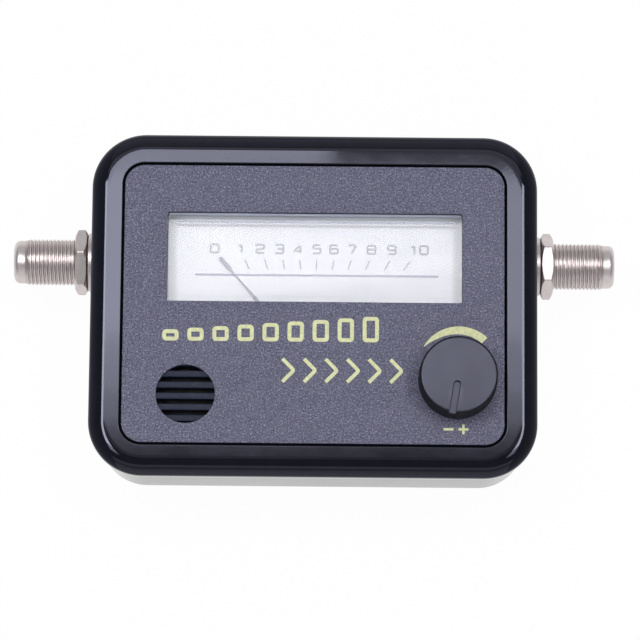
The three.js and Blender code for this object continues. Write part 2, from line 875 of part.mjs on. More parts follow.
function makeMeterBase() {
  const outer = meterOutline(0, trayBottom, meterCeiling);
  const outerCup = meterOutline(0, meterBottom, meterCeiling).cup;
  const inner = meterOutline(meterWall, trayTop, meterCeiling + overrun);
  const innerCup = meterOutline(meterWall, meterFloor, meterCeiling + overrun).cup;
  let base = outer.tray.add(outerCup).subtract(inner.tray).subtract(innerCup);
  const yokeBottom = movementMiddle - yokeHeight / 2;
  const padReach = yokeOuterRadius - yokeInnerRadius - 2 * fitGap;
  const padY = (yokeOuterRadius + yokeInnerRadius) / 2;
  for (const [, side] of bothSides) {
    const y = pivotY + side * padY;
    base = base.add(block(padWidth, padReach, yokeBottom - meterFloor, pivotX, y, meterFloor));
    const hole = meterPinRadius + fitGap;
    const pinY = cupInnerLowY + 2 * meterPinRadius;
    const pinX = pivotX + side * (cupInnerReach - 2 * meterPinRadius);
    const cut = disc(hole, meterWall + 2 * overrun, pinX, pinY, meterBottom - overrun, wireSides);
    base = base.subtract(cut);
  }
  place(whole, "meter_base", base, whiteFinish);
  for (const [name, side] of bothSides) {
    const pinY = cupInnerLowY + 2 * meterPinRadius;
    const pinX = pivotX + side * (cupInnerReach - 2 * meterPinRadius);
    const pin = disc(meterPinRadius, meterFloor + meterPinRise - boardTop, pinX, pinY, boardTop, wireSides);
    place(whole, `meter_pin_${name}`, pin, brassFinish);
  }
}

function makeMeterLens() {
  const flange = meterOutline(0, meterCeiling, meterTop);
  const windowTop = caseDepth - lensRecess;
  let lens = flange.tray.add(flange.cup).add(windowCut(meterCeiling, windowTop, fitGap));
  lens = lens.subtract(windowCut(meterCeiling - overrun, windowTop - lensThickness, fitGap + lensWall));
  place(whole, "meter_lens", lens, clearFinish);
}

function makeDial() {
  const inset = meterWall + fitGap;
  const length = 2 * (trayHalfLength - inset);
  const width = trayHighY - trayLowY - 2 * inset;
  const dial = block(length, width, dialThickness, windowX, (trayHighY + trayLowY) / 2, trayTop);
  place(whole, "dial_plate", dial, dialFinish);
}

// Fixed part of the movement, built about the staff's axis with its middle at zero

const coilTop = coilHeight / 2;
const staffTop = coilTop + staffLength;
const bearingTop = staffTop + bearingRoof;
const bearingBottom = bearingTop - bearingHeight;
const bridgeTop = bearingTop - bridgeProud;
const bridgeBottom = bridgeTop - bridgeThickness;

function makeYokeAndCore(movement) {
  const yoke = ring(yokeOuterRadius, yokeInnerRadius, yokeHeight, -yokeHeight / 2, fineSides);
  place(movement, "magnet_yoke", yoke, ironFinish);
  const core = disc(coreRadius, coreHeight, 0, 0, -coreHeight / 2);
  place(movement, "magnet_core", core, magnetFinish);
  const band = ring(
    yokeInnerRadius - runningGap - fitGap,
    coreRadius + runningGap,
    coreHolderHeight,
    -coreHolderHeight / 2,
  );
  const holderY = -(yokeInnerRadius + coreRadius) / 2;
  const holderBottom = -coreHolderHeight / 2;
  const slab = block(coreHolderWidth, yokeInnerRadius, coreHolderHeight, 0, holderY, holderBottom);
  const holder = band.intersect(slab);
  place(movement, "core_holder", holder, brassFinish);
}

function makeBearings(movement) {
  for (const [name, side] of [["upper", 1], ["lower", -1]]) {
    const facing = shape => (side > 0 ? shape : shape.rotate([180, 0, 0]));
    const legX = (yokeOuterRadius + yokeInnerRadius) / 2;
    const legLength = (yokeOuterRadius - yokeInnerRadius) / 2;
    const strapLength = 2 * legX + legLength;
    let bridge = block(strapLength, bridgeWidth, bridgeThickness, 0, 0, bridgeBottom);
    for (const leg of [-1, 1]) {
      const legHeight = bridgeTop - yokeHeight / 2;
      bridge = bridge.add(block(legLength, bridgeWidth, legHeight, leg * legX, 0, yokeHeight / 2));
    }
    const seat = bearingRadius + runningGap;
    const seatDepth = bridgeThickness + 2 * overrun;
    bridge = bridge.subtract(disc(seat, seatDepth, 0, 0, bridgeBottom - overrun, smallSides));
    place(movement, `${name}_bridge`, facing(bridge), brassFinish);
    const cupDepth = bearingTop - bearingRoof - bearingBottom + runningGap;
    const cup = disc(bearingCupRadius, cupDepth + overrun, 0, 0, bearingBottom - overrun, smallSides);
    const bearing = disc(bearingRadius, bearingHeight, 0, 0, bearingBottom, smallSides).subtract(cup);
    place(movement, `${name}_bearing`, facing(bearing), magnetFinish);
    const springBottom = bridgeBottom - hairspringDrop - hairspringHeight;
    const hairspring = spiral(
      hairspringInnerRadius,
      hairspringPitch,
      hairspringTurns,
      hairspringThickness,
      hairspringHeight,
      springBottom,
    );
    place(movement, `${name}_hairspring`, facing(hairspring), brassFinish);
  }
}

// Moving part of the movement: coil, staffs and needle, drawn with the needle along +Y

function rectangleBand(reach, height, thickness, depth) {
  const outer = block(2 * reach, depth, height, 0, 0, -height / 2);
  const [innerReach, innerHeight] = [reach - thickness, height - 2 * thickness];
  return outer.subtract(block(2 * innerReach, depth + 2 * overrun, innerHeight, 0, 0, -innerHeight / 2));
}

// The needle seen from the front: an arm, a thinner stem and a flag at the tip
function needlePlan(bottom) {
  const edge = [
    [needleWidth / 2, 0],
    [needleWidth / 2, needleStemStart],
    [needleStemWidth / 2, needleStemStart + needleStep],
    [needleStemWidth / 2, needleFlagStart],
    [needleFlagWidth / 2, needleFlagStart + needleStep],
    [needleFlagWidth / 2, needleReach],
  ];
  const otherEdge = edge.map(([x, y]) => [-x, y]).reverse();
  const outline = [...edge, ...otherEdge].map(([x, y]) => new THREE.Vector2(x, y));
  return extruded(new THREE.Shape(outline), movementReach - bottom, bottom);
}

function needleShape() {
  const hubBottom = coilTop + hubSeat;
  const bladeBottom = dialTop + needleLift - movementMiddle;
  const hub = ring(needleHubRadius, staffRadius + fitGap, needleHubThickness, hubBottom, smallSides);
  const profile = new THREE.Shape([
    new THREE.Vector2(needleHubRadius - needleHubThickness, hubBottom),
    new THREE.Vector2(needleCrankStart, hubBottom),
    new THREE.Vector2(needleCrankStart + needleCrankRun, bladeBottom),
    new THREE.Vector2(needleReach, bladeBottom),
    new THREE.Vector2(needleReach, bladeBottom + needleThickness),
    new THREE.Vector2(needleCrankStart + needleCrankRun - needleThickness, bladeBottom + needleThickness),
    new THREE.Vector2(needleCrankStart - needleThickness, hubBottom + needleThickness),
    new THREE.Vector2(needleHubRadius - needleHubThickness, hubBottom + needleThickness),
  ]);
  const side = extruded(profile, needleFlagWidth, -needleFlagWidth / 2);
  const arm = side.rotate([90, 0, 0]).rotate([0, 0, 90]).intersect(needlePlan(hubBottom));
  const tailStart = needleHubRadius - needleHubThickness;
  const tailLength = needleTail - tailStart;
  const tailY = -tailStart - tailLength / 2;
  const tail = block(needleTailWidth, tailLength, needleHubThickness, 0, tailY, hubBottom);
  return hub.add(arm).add(tail);
}

function makeMovingCoil(movement) {
  const moving = new THREE.Group();
  moving.rotation.z = THREE.MathUtils.degToRad(needleRestAngle);
  movement.add(moving);
  place(moving, "needle", needleShape(), needleFinish);
  const coil = rectangleBand(coilReach, coilHeight, coilThickness, coilWidth);
  place(moving, "coil_winding", coil, copperFinish);
  const formerInset = coilThickness + runningGap / 2;
  const former = rectangleBand(
    coilReach - formerInset,
    coilHeight - 2 * formerInset,
    formerThickness,
    formerWidth,
  );
  place(moving, "coil_former", former, steelFinish);
  for (const [name, side] of [["upper", 1], ["lower", -1]]) {
    const staff = turned([
      [0, coilTop],
      [staffRadius, coilTop],
      [staffRadius, staffTop - staffPointLength],
      [0, staffTop],
    ], smallSides);
    place(moving, `${name}_staff`, side > 0 ? staff : staff.rotate([180, 0, 0]), steelFinish);
  }
}

function makeMovement() {
  const movement = group(pivotX, pivotY, movementMiddle);
  makeYokeAndCore(movement);
  makeBearings(movement);
  makeMovingCoil(movement);
}

// Gain control: the fixed part hangs from the deck, and the shaft carries the wiper and the knob

const bushInnerRadius = shaftRadius + runningGap;
const bushOuterRadius = bushInnerRadius + bushWall;
const bushTop = caseDepth + bushRise;
const potBottom = deckUnderside - potDepth;
const waferTop = potBottom + potWaferThickness;
const wiperBottom = waferTop + wiperLift;
const collarTop = deckUnderside - potWall - runningGap;
const knobBottom = caseDepth + knobLift;
const knobTop = knobBottom + knobHeight;
const shaftTop = knobTop - knobShaftRoof;

function makePot() {
  const at = group(knobX, knobY, 0);
  const canInner = potRadius - potWall;
  const can = turned([
    [bushInnerRadius, deckUnderside - potWall],
    [bushInnerRadius, bushTop],
    [bushOuterRadius, bushTop],
    [bushOuterRadius, deckUnderside],
    [potRadius, deckUnderside],
    [potRadius, potBottom],
    [canInner, potBottom],
    [canInner, deckUnderside - potWall],
    [bushInnerRadius, deckUnderside - potWall],
  ]);
  place(at, "pot_case", can, nickelFinish);
  let wafer = disc(canInner - fitGap, potWaferThickness, 0, 0, potBottom);
  for (const pin of [-1, 0, 1]) {
    const height = potBottom - boardTop + potWaferThickness / 2;
    const x = pin * potPinSpacing;
    wafer = wafer.add(block(potPinWidth, potPinThickness, height, x, -potPinOffset, boardTop));
  }
  place(at, "pot_wafer", wafer, waferFinish);
  const washer = ring(potWasherRadius, bushOuterRadius + fitGap, potWasherThickness, caseDepth);
  place(at, "pot_washer", washer, steelFinish);
  const nutBottom = caseDepth + potWasherThickness;
  const nut = hexagon(potNutAcrossFlats, potNutThickness, nutBottom);
  const nutBore = disc(bushOuterRadius + fitGap, potNutThickness + 2 * overrun, 0, 0, nutBottom - overrun);
  place(at, "pot_nut", nut.subtract(nutBore), nickelFinish);
}

function makeShaftAndKnob() {
  const turning = group(knobX, knobY, 0);
  turning.rotation.z = -THREE.MathUtils.degToRad(knobPointAngle);
  const shaftBottom = waferTop + runningGap;
  let shaft = turned([
    [0, shaftBottom],
    [shaftRadius, shaftBottom],
    [shaftRadius, collarTop - collarThickness],
    [collarRadius, collarTop - collarThickness],
    [collarRadius, collarTop],
    [shaftRadius, collarTop],
    [shaftRadius, shaftTop],
    [0, shaftTop],
  ]);
  const flatBottom = shaftTop - shaftFlatLength;
  const flatCut = flat => {
    const x = flat + shaftRadius / 2;
    return block(shaftRadius, 2 * shaftRadius, shaftFlatLength + overrun, x, 0, flatBottom);
  };
  shaft = shaft.subtract(flatCut(shaftFlat));
  place(turning, "gain_shaft", shaft, nickelFinish);
  const wiper = ring(wiperRadius, shaftRadius + runningGap, wiperThickness, wiperBottom);
  place(turning, "pot_wiper", wiper, brassFinish);
  let knob = turned([
    [0, knobBottom],
    [knobBaseRadius, knobBottom],
    [knobShoulderRadius, knobTop - knobShoulder],
    [knobFaceRadius, knobTop],
    [0, knobTop],
  ], fineSides);
  knob = knob.subtract(disc(knobRecessRadius, knobHeight - knobRoof + overrun, 0, 0, knobBottom - overrun));
  let bore = disc(shaftRadius + fitGap, shaftTop + runningGap - knobBottom, 0, 0, knobBottom);
  bore = bore.subtract(flatCut(shaftFlat + fitGap));
  knob = knob.subtract(bore);
  const grooveEnd = pointerWidth / 2;
  const grooveRoundY = -pointerStart - grooveEnd;
  const grooveLength = knobBaseRadius + overrun + grooveRoundY;
  const grooveBottom = knobTop - pointerDepth;
  const grooveY = grooveRoundY - grooveLength / 2;
  const groove = block(pointerWidth, grooveLength, pointerDepth + overrun, 0, grooveY, grooveBottom);
  const grooveStart = disc(grooveEnd, pointerDepth + overrun, 0, grooveRoundY, grooveBottom, smallSides);
  knob = knob.subtract(groove.add(grooveStart));
  place(turning, "gain_knob", knob, knobFinish);
}

// Coaxial sockets, built about Z with the case wall's outer face at zero, then laid along X

function socketBarrel() {
  const noseTop = socketReach - socketWallX;
  const threadTop = noseTop - noseLength;
  const inside = -rearWall - socketFlangeThickness;
  const stubRadius = (socketBoreRadius + threadRadius - threadDepth) / 2;
  const threadLength = threadTop + rearWall + 2 * threadPitch;
  const thread = threadedRod(threadRadius, threadDepth, threadPitch, threadLength, threadSides);
  const blank = disc(threadRadius + overrun, threadTop + rearWall, 0, 0, -rearWall);
  let barrel = thread.translate([0, 0, -rearWall - threadPitch]).intersect(blank);
  const roundStart = noseTop - noseLength / 2;
  barrel = barrel.add(turned([
    [0, inside],
    [socketFlangeRadius, inside],
    [socketFlangeRadius, -rearWall],
    [stubRadius, -rearWall],
    [stubRadius, threadTop],
    [noseRadius, threadTop],
    [noseRadius, roundStart],
    [(noseRadius * 2 + noseTipRadius) / 3, noseTop - noseLength / 6],
    [noseTipRadius, noseTop],
    [0, noseTop],
  ]));
  return barrel.subtract(disc(socketBoreRadius, noseTop - inside + 2 * overrun, 0, 0, inside - overrun));
}

function socketInsulator() {
  const top = socketReach - socketWallX - insulatorSetback;
  const bottom = -rearWall - socketFlangeThickness;
  const outer = socketBoreRadius - runningGap;
  const bore = contactRadius + runningGap;
  const step = top - contactHoleDepth;
  const profile = [
    [bore, bottom],
    [outer, bottom],
    [outer, top],
    [contactHoleRadius, top],
    [contactHoleRadius, step],
    [bore, step],
    [bore, bottom],
  ];
  return turned(profile, smallSides);
}

function socketContact() {
  const top = socketReach - socketWallX - insulatorSetback - contactHoleDepth - fitGap;
  const bottom = -rearWall - socketFlangeThickness - contactTail;
  const boreBottom = top / 2;
  const bore = disc(contactBoreRadius, top - boreBottom + overrun, 0, 0, boreBottom, wireSides);
  return disc(contactRadius, top - bottom, 0, 0, bottom, wireSides).subtract(bore);
}

function socketNut(bottom) {
  const flatsRadius = socketNutAcrossFlats / 2;
  const cornerRadius = flatsRadius / Math.cos(Math.PI / 6);
  const top = bottom + socketNutThickness;
  const rounded = turned([
    [0, bottom],
    [flatsRadius, bottom],
    [cornerRadius, bottom + socketNutChamfer],
    [cornerRadius, top - socketNutChamfer],
    [flatsRadius, top],
    [0, top],
  ], fineSides);
  const bore = disc(threadRadius + fitGap, socketNutThickness + 2 * overrun, 0, 0, bottom - overrun);
  return hexagon(socketNutAcrossFlats, socketNutThickness, bottom).intersect(rounded).subtract(bore);
}

function lockWasher(bottom) {
  const innerRadius = washerRadius - lockWasherWidth;
  const band = ring(washerRadius, innerRadius, lockWasherThickness, bottom);
  const cutHeight = lockWasherThickness + 2 * overrun;
  const cut = block(lockWasherSplit, washerRadius, cutHeight, 0, washerRadius, bottom - overrun);
  return band.subtract(cut);
}

function makeSocket(name, side) {
  const socket = group(side * socketWallX, socketY, socketHeight);
  socket.rotation.y = side * Math.PI / 2;
  const nutBottom = flatWasherThickness + lockWasherThickness + 3 * fitGap;
  const nutAngle = side > 0 ? rightNutAngle : leftNutAngle;
  place(socket, `${name}_socket_barrel`, socketBarrel(), nickelFinish);
  place(socket, `${name}_socket_insulator`, socketInsulator(), insulatorFinish);
  place(socket, `${name}_socket_contact`, socketContact(), brassFinish);
  const flat = ring(washerRadius, threadRadius + fitGap, flatWasherThickness, fitGap);
  place(socket, `${name}_flat_washer`, flat, nickelFinish);
  place(socket, `${name}_lock_washer`, lockWasher(flatWasherThickness + 2 * fitGap), nickelFinish);
  const nut = place(socket, `${name}_socket_nut`, socketNut(nutBottom), nickelFinish);
  nut.rotation.z = THREE.MathUtils.degToRad(nutAngle);
  const contactEnd = rearWall + socketFlangeThickness + contactTail;
  const drop = socketHeight - boardTop;
  const start = new THREE.Vector3(0, 0, -contactEnd);
  const bend = new THREE.Vector3(0, 0, -contactEnd - leadRun);
  const end = new THREE.Vector3(side * drop, 0, -contactEnd - leadRun);
  const path = new THREE.QuadraticBezierCurve3(start, bend, end);
  place(socket, `${name}_signal_lead`, wire(path, leadRadius, wireSides), copperFinish);
}

makeFrontShell();
makeFacePlate();
makeRearCase();
makeCaseScrews();
makeBoard();
makeChip();
makeCapacitor();
makeChoke();
makeTransistors();
makeDiode();
makeSounder();
makeMeterBase();
makeMeterLens();
makeDial();
makeMovement();
makePot();
makeShaftAndKnob();
bothSides.forEach(([name, side]) => makeSocket(name, side));

export default whole;
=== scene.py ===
# Satellite signal meter: fine meshes, finishes, floor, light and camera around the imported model
import math

import bmesh
import bpy
from mathutils import Matrix, Vector


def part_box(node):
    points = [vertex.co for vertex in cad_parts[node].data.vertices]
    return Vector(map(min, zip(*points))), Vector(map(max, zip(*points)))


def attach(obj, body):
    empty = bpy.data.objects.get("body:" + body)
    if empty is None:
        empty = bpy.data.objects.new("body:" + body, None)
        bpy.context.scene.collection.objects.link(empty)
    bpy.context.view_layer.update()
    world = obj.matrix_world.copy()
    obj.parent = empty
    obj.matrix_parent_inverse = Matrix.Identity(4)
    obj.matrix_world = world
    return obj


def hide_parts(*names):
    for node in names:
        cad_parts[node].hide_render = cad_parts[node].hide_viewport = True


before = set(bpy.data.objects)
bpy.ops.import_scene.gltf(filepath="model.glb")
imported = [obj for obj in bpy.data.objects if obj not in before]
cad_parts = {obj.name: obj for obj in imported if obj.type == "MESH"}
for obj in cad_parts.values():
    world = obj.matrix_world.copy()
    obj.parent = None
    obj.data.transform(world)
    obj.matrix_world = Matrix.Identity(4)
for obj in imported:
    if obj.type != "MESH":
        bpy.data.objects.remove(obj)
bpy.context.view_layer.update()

MM = 0.001

# Clearances and facets, in millimetres where they are lengths
OVERRUN = 1
PRINT_THICKNESS = 0.05
PRINT_SINK = 0.02
OVERLAP = 0.2
NEARBY = 0.08
TOUCHING = 0.008
AXIS_RADIUS = 0.02
SQUARE_CORNER = 0.01
CORNER_STEPS = 20
EDGE_STEPS = 20
LIP_STEPS = 5
SMALL_SIDES = 32
POST_SIDES = 48
TURNED_SIDES = 64
ROUND_SIDES = 96
FINE_SIDES = 160
SMOOTH_ANGLE = math.radians(32)
CORNER_SIDES = ((1, 1), (-1, 1), (-1, -1), (1, -1))

# Noise values at which a pattern reaches its two ends
NOISE_LOW = 0.3
NOISE_HIGH = 0.7

# Case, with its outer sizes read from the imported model
SHELL_LOW, SHELL_HIGH = (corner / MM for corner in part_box("front_shell"))
REAR_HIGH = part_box("rear_case")[1] / MM
PLATE_LOW, PLATE_HIGH = (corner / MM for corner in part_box("face_plate"))
CASE_TOP = SHELL_HIGH.z
PARTING = REAR_HIGH.z
DECK_TOP = PLATE_LOW.z
DECK_THICKNESS = 2.2
DECK_UNDERSIDE = DECK_TOP - DECK_THICKNESS
RIM_BOTTOM = SHELL_LOW.z
CASE_CORNER = 11
EDGE_REACH = 3.5
EDGE_DROP = 1.8
EDGE_FULLNESS = 1.7
BAND_STEPS = 5
BAND_START = 0.05
LIP_RADIUS = 0.22
SKIRT_ROUNDING = 0.2
RIM_GAP = 0.15
RIM_THICKNESS = 1.5
REAR_INSET = 1.25
REAR_WALL = 2
REAR_EDGE = 3
PLATE_CORNER = 4
PLATE_GROOVE = 0.45
PLATE_EDGE = 0.08

# Window, its clear cover, grille and holes
WINDOW_SIZE = Vector((59.75, 18.35))
WINDOW_CENTRE = Vector((0.15, 9.6))
WINDOW_CORNER = 0.35
LENS_GAP = 0.15
LENS_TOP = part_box("meter_lens")[1].z / MM
LENS_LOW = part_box("meter_lens")[0].z / MM
LENS_THICKNESS = 1.2
LENS_WALL = 1.3
LENS_FLANGE = 0.8
LENS_EDGE = 0.25
LENS_WALL_SLOPE = 0.92
CUP_REACH = 12.94
GRILLE_CENTRE = Vector((-25.7, -18.55))
GRILLE_RADIUS = 5.95
SLOT_WIDTH = 1
SLOT_PITCH = 2.25
SLOT_COUNT = 6
SLOT_RISE = -0.325
SLOT_EDGE = 0.12
KNOB_CENTRE = Vector((29.05, -15.3))
BUSH_HOLE = 3.65

# Screws and posts inside the case
SCREW_PLACE = Vector((36.75, 26.5))
PILLAR_RADIUS = 4.2
PILLAR_TOP = 20
BOSS_RADIUS = 3.5
PILOT_RADIUS = 1.6
PILOT_TOP = 25.15
COUNTERBORE_RADIUS = 3.1
COUNTERBORE_DEPTH = 12
COUNTERBORE_EDGE = 0.3
SCREW_CLEARANCE = 1.75
SCREW_HEAD = 2.7
SCREW_HEAD_HEIGHT = 1.8
SCREW_DOME = 0.75
SCREW_SHANK = 1.45
SCREW_LENGTH = 13
SCREW_THREAD_DEPTH = 0.25
SCREW_PITCH = 1.1
SCREW_ROOT_SHARE = 0.3
SCREW_CREST_SHARE = 0.75
CROSS_WIDTH = 0.75
CROSS_REACH = 1.5
CROSS_DEPTH = 1.1
CROSS_REACH_SHARE = 0.35
CROSS_WIDTH_SHARE = 0.7
CROSS_TURNS = (18, 71, 40, 6)
POST_RADIUS = 2.6
POST_TOP = 6
BOARD_SCREW_PLACE = Vector((33, -9))
BOARD_SCREW_HOLE = 1.1
BOARD_SCREW_DEPTH = 3.05
PEG_PLACE = Vector((29, 23.75))
PEG_RADIUS = 1.2
PEG_TOP = 7.6

# Knob
KNOB_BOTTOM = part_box("gain_knob")[0].z / MM
KNOB_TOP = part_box("gain_knob")[1].z / MM
KNOB_BASE = 7.95
KNOB_SHOULDER = 7.8
KNOB_FACE = 7.25
KNOB_SHOULDER_DROP = 0.45
KNOB_FACE_SLOPE = 0.9
KNOB_FOOT = 0.25
KNOB_RECESS = 6.6
KNOB_ROOF = 2.8
SHAFT_BORE = 3.15
SHAFT_ROOF = 1.3
POINTER_WIDTH = 1.45
POINTER_DEPTH = 0.9
POINTER_START = 1.2
POINTER_EDGE = 0.09
KNOB_TURN = math.radians(-9.5)

# Sockets, along their own axis from the case wall outwards
SOCKET_WALL = REAR_HIGH.x
SOCKET_PLACE = Vector((10.95, 14.5))
SOCKET_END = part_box("right_socket_barrel")[1].x / MM - SOCKET_WALL
THREAD_RADIUS = 4.7
THREAD_DEPTH = 0.28
THREAD_ROOT_SHARE = 0.26
THREAD_FLANK_SHARE = 0.42
# How far down the thread the painted shade reaches, as a share of its depth
THREAD_SHADE_SHARE = 0.35
THREAD_PITCH = 0.79375
THREAD_ROWS = 12
THREAD_MARGIN = 0.05
NOSE_LENGTH = 2.35
NOSE_RADIUS = 4.4
NOSE_ROUNDING = 1.2
SOCKET_BORE = 3
SOCKET_FLANGE = 6.3
SOCKET_FLANGE_THICKNESS = 1.5
INSULATOR_SETBACK = 0.5
INSULATOR_RADIUS = 2.9
CONTACT_HOLE = 0.6
CONTACT_HOLE_DEPTH = 1
CONTACT_CHANNEL = 1.1
WASHER_RADIUS = 6.05
WASHER_BORE = 4.85
WASHER_EDGE = 0.12
FLAT_WASHER = (0.15, 0.95)
LOCK_WASHER = (1.1, 2.5)
LOCK_WASHER_BORE = 5.05
LOCK_WASHER_SPLIT = 0.6
NUT = (2.65, 5.2)
NUT_FLAT_RADIUS = 6
NUT_CORNER_RADIUS = NUT_FLAT_RADIUS / math.cos(math.pi / 6)
NUT_CHAMFER = 0.8
NUT_EDGE = 0.3
NUT_SMOOTH_ANGLE = math.radians(12)
NUT_TURNS = {"right": math.radians(4), "left": math.radians(-22)}

# Dial
DIAL_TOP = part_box("dial_plate")[1].z / MM
PIVOT = Vector((0.15, -11.9))
FAN_CENTRE = Vector((0.15, -17.4))
TICK_HIGH = 9.9
TICK_LOW = 7.95
TICK_WIDTH = 0.28
TICK_PLACES = (-14.2, -10.1, -6.45, -2.95, 0.5, 4, 7.5, 11.3, 15.4, 19.6)
DIGIT_PLACES = (-20.3, -14.95, -11, -7.1, -3.35, 0.5, 4, 7.8, 11.65, 15.8, 21.3)
DIGIT_HEIGHT = 1.72
DIGIT_WIDTH = 1.58
DIGIT_STROKE = 0.42
DIGIT_ROUNDING = 0.38
DIGIT_Y = 12.15
TEN_GAP = 2.1
LINE_LEFT = -24.2
LINE_RIGHT = 25.3
LINE_Y = 6.7
LINE_WIDTH = 0.44

# Needle, with rows of reach from the pivot and width, and half of the tail's outline
NEEDLE_TURN = math.radians(41.2)
NEEDLE_BOTTOM = 25.5
NEEDLE_THICKNESS = 0.3
HUB_BORE = 0.65
HUB_RADIUS = 1.8
HUB_THICKNESS = 0.4
HUB_ARM = ((1.4, 0.5), (8, 0.5))
DIAL_ARM = ((9.2, 0.5), (20.6, 0.5), (21.6, 0.24), (25.6, 0.24), (26.5, 0.8), (29.2, 0.8), (29.4, 0.4))
TAIL_HALF = ((0.45, -1.4), (0.7, -3.4), (0.7, -5.2))

# Prints on the face plate
ARC_CENTRE = Vector((29.37, -12.6))
ARC_RADIUS = 8.25
ARC_START = math.radians(150)
ARC_END = math.radians(46.5)
ARC_THIN = 0.1
ARC_THICK = 1.65
ARC_GROWTH = 4
ARC_STEPS = 40
BAR_COUNT = 9
BAR_LEFT = -30.5
BAR_PITCH = 5.05
BAR_WIDTH = 3.3
BAR_STROKE = 0.8
BAR_FOOT = -7.75
BAR_LOW_HEIGHT = 2.3
BAR_HIGH_HEIGHT = 5.2
CHEVRON_COUNT = 6
CHEVRON_LEFT = -6.2
CHEVRON_PITCH = 4.35
CHEVRON_REACH = 2.3
CHEVRON_HEIGHT = 4.7
CHEVRON_Y = -13.6
CHEVRON_STROKE = 0.74
SIGN_Y = -25.3
SIGN_SIZE = 2
SIGN_GAP = 3
SIGN_STROKE = 0.5
SIGN_SHIFT = 0.3

# Floor in millimetres, and the world's colours by the height of the direction
FLOOR_REACH = 3000
FLOOR_WHITE_SHARE = 0.975
HORIZON_HEIGHT = 0.05
ZENITH_HEIGHT = 0.9
HORIZON_COLOR = (0.5, 0.5, 0.52, 1)
ZENITH_COLOR = (0.13, 0.13, 0.14, 1)

# Soft box overhead: sizes in metres, rows of start and end in degrees behind the zenith and radiance
KEY_DISTANCE = 1.4
KEY_WIDTH = 0.41
KEY_SEAM = 0.012
KEY_ROWS = (
    (1, 6.4, 0.35),
    (6.4, 6.9, 1.6),
    (6.9, 7.7, 4.2),
    (7.7, 8.9, 6.2),
    (8.9, 13, 8.8),
)
KEY_RIGHT_SHARE = 0.8
KEY_FAR_ROWS = ((-1, 13, 19, 6.6), (1, 13, 19, 0.9))

# Lamps overhead by distance in metres and tilts back and sideways in degrees, with size and radiance
OVERHEAD_LAMPS = (
    ("back_fill", (1.4, 26, 0), (1.2, 0.3), 0.9),
    ("right_strip", (1.45, 5, 20.6), (0.2, 0.5), 10.5),
    ("right_strip_tail", (1.45, -9, 20.6), (0.2, 0.2), 3.15),
    ("left_strip", (1.45, 5, -20.6), (0.2, 0.5), 12.5),
    ("left_strip_tail", (1.45, -9, -20.6), (0.2, 0.2), 3.75),
)

# Large pale cards by place, with size and radiance
CARDS = (
    ("front_card", (0, -1.1, 0.5), (1.6, 0.8), 0.54),
    ("middle_front_card", (0, -0.87, 0.966), (1.6, 0.227), 0.22),
    ("high_front_card", (0, -0.708, 1.09), (1.6, 0.19), 0.62),
    ("back_card", (0, 1.1, 0.8), (1.6, 0.9), 0.28),
)

# Camera, with distances in metres
CAMERA_TILT = math.radians(10)
CAMERA_DISTANCE = 0.732
CAMERA_ROLL = math.radians(0.52)
IMAGE_SIZE = 640
FOCAL_PIXELS = 3625
AIM_PIXEL = (313.8, 303.9)
SENSOR = 36.0


# Mesh helpers, all in millimetres until the mesh is made

def link(data, name):
    piece = bpy.data.objects.new(name, data)
    bpy.context.scene.collection.objects.link(piece)
    return piece


def solid(name, points, faces):
    mesh = bpy.data.meshes.new(name)
    mesh.from_pydata([Vector(point) * MM for point in points], [], faces)
    mesh.validate()
    made = bmesh.new()
    made.from_mesh(mesh)
    bmesh.ops.recalc_face_normals(made, faces=made.faces)
    made.to_mesh(mesh)
    made.free()
    return link(mesh, name)


def evaluated_mesh(piece):
    graph = bpy.context.evaluated_depsgraph_get()
    return bpy.data.meshes.new_from_object(piece.evaluated_get(graph))


def combined(piece, others, operation):
    for other in others:
        step = piece.modifiers.new(operation.lower(), "BOOLEAN")
        step.operation = operation
        step.solver = "EXACT"
        step.object = other
    mesh = evaluated_mesh(piece)
    piece.modifiers.clear()
    piece.data = mesh
    for other in others:
        bpy.data.objects.remove(other)
    return piece


def smooth(piece, angle=SMOOTH_ANGLE):
    piece.data.shade_smooth()
    piece.data.set_sharp_from_angle(angle=angle)
    return piece


def rounded_edges(piece, width, chosen, steps=3):
    """Rounds the sharp edges whose two ends and middle pass the test."""
    made = bmesh.new()
    made.from_mesh(piece.data)
    edges = []
    for edge in made.edges:
        middle = (edge.verts[0].co + edge.verts[1].co) / 2 / MM
        sharp = len(edge.link_faces) == 2 and edge.calc_face_angle(0) > SMOOTH_ANGLE
        if sharp and all(chosen(point) for point in (*(v.co / MM for v in edge.verts), middle)):
            edges.append(edge)
    bmesh.ops.bevel(made, geom=edges, offset=width * MM, segments=steps, affect="EDGES", profile=0.5)
    made.to_mesh(piece.data)
    made.free()


def quarter_turn(steps):
    """Sine and cosine at even steps from 0 to a right angle."""
    for step in range(steps + 1):
        angle = step / steps * math.pi / 2
        yield math.sin(angle), math.cos(angle)


def rounded_loop(half_length, half_width, radius, z, steps=CORNER_STEPS):
    points = []
    for corner, (side_x, side_y) in enumerate(CORNER_SIDES):
        for step in range(steps + 1):
            angle = (corner + step / steps) * math.pi / 2
            x = side_x * (half_length - radius) + radius * math.cos(angle)
            y = side_y * (half_width - radius) + radius * math.sin(angle)
            points.append((x, y, z))
    return points


def outline_loops(half_length, half_width, corner):
    """A maker of rounded loops, each drawn in by a reach at a height."""
    def loop(reach, z):
        return rounded_loop(half_length - reach, half_width - reach, corner - reach, z)

    return loop


def between(first, second, share):
    """The loop that lies that share of the way from the first to the second."""
    return [tuple(Vector(a).lerp(Vector(b), share)) for a, b in zip(first, second)]


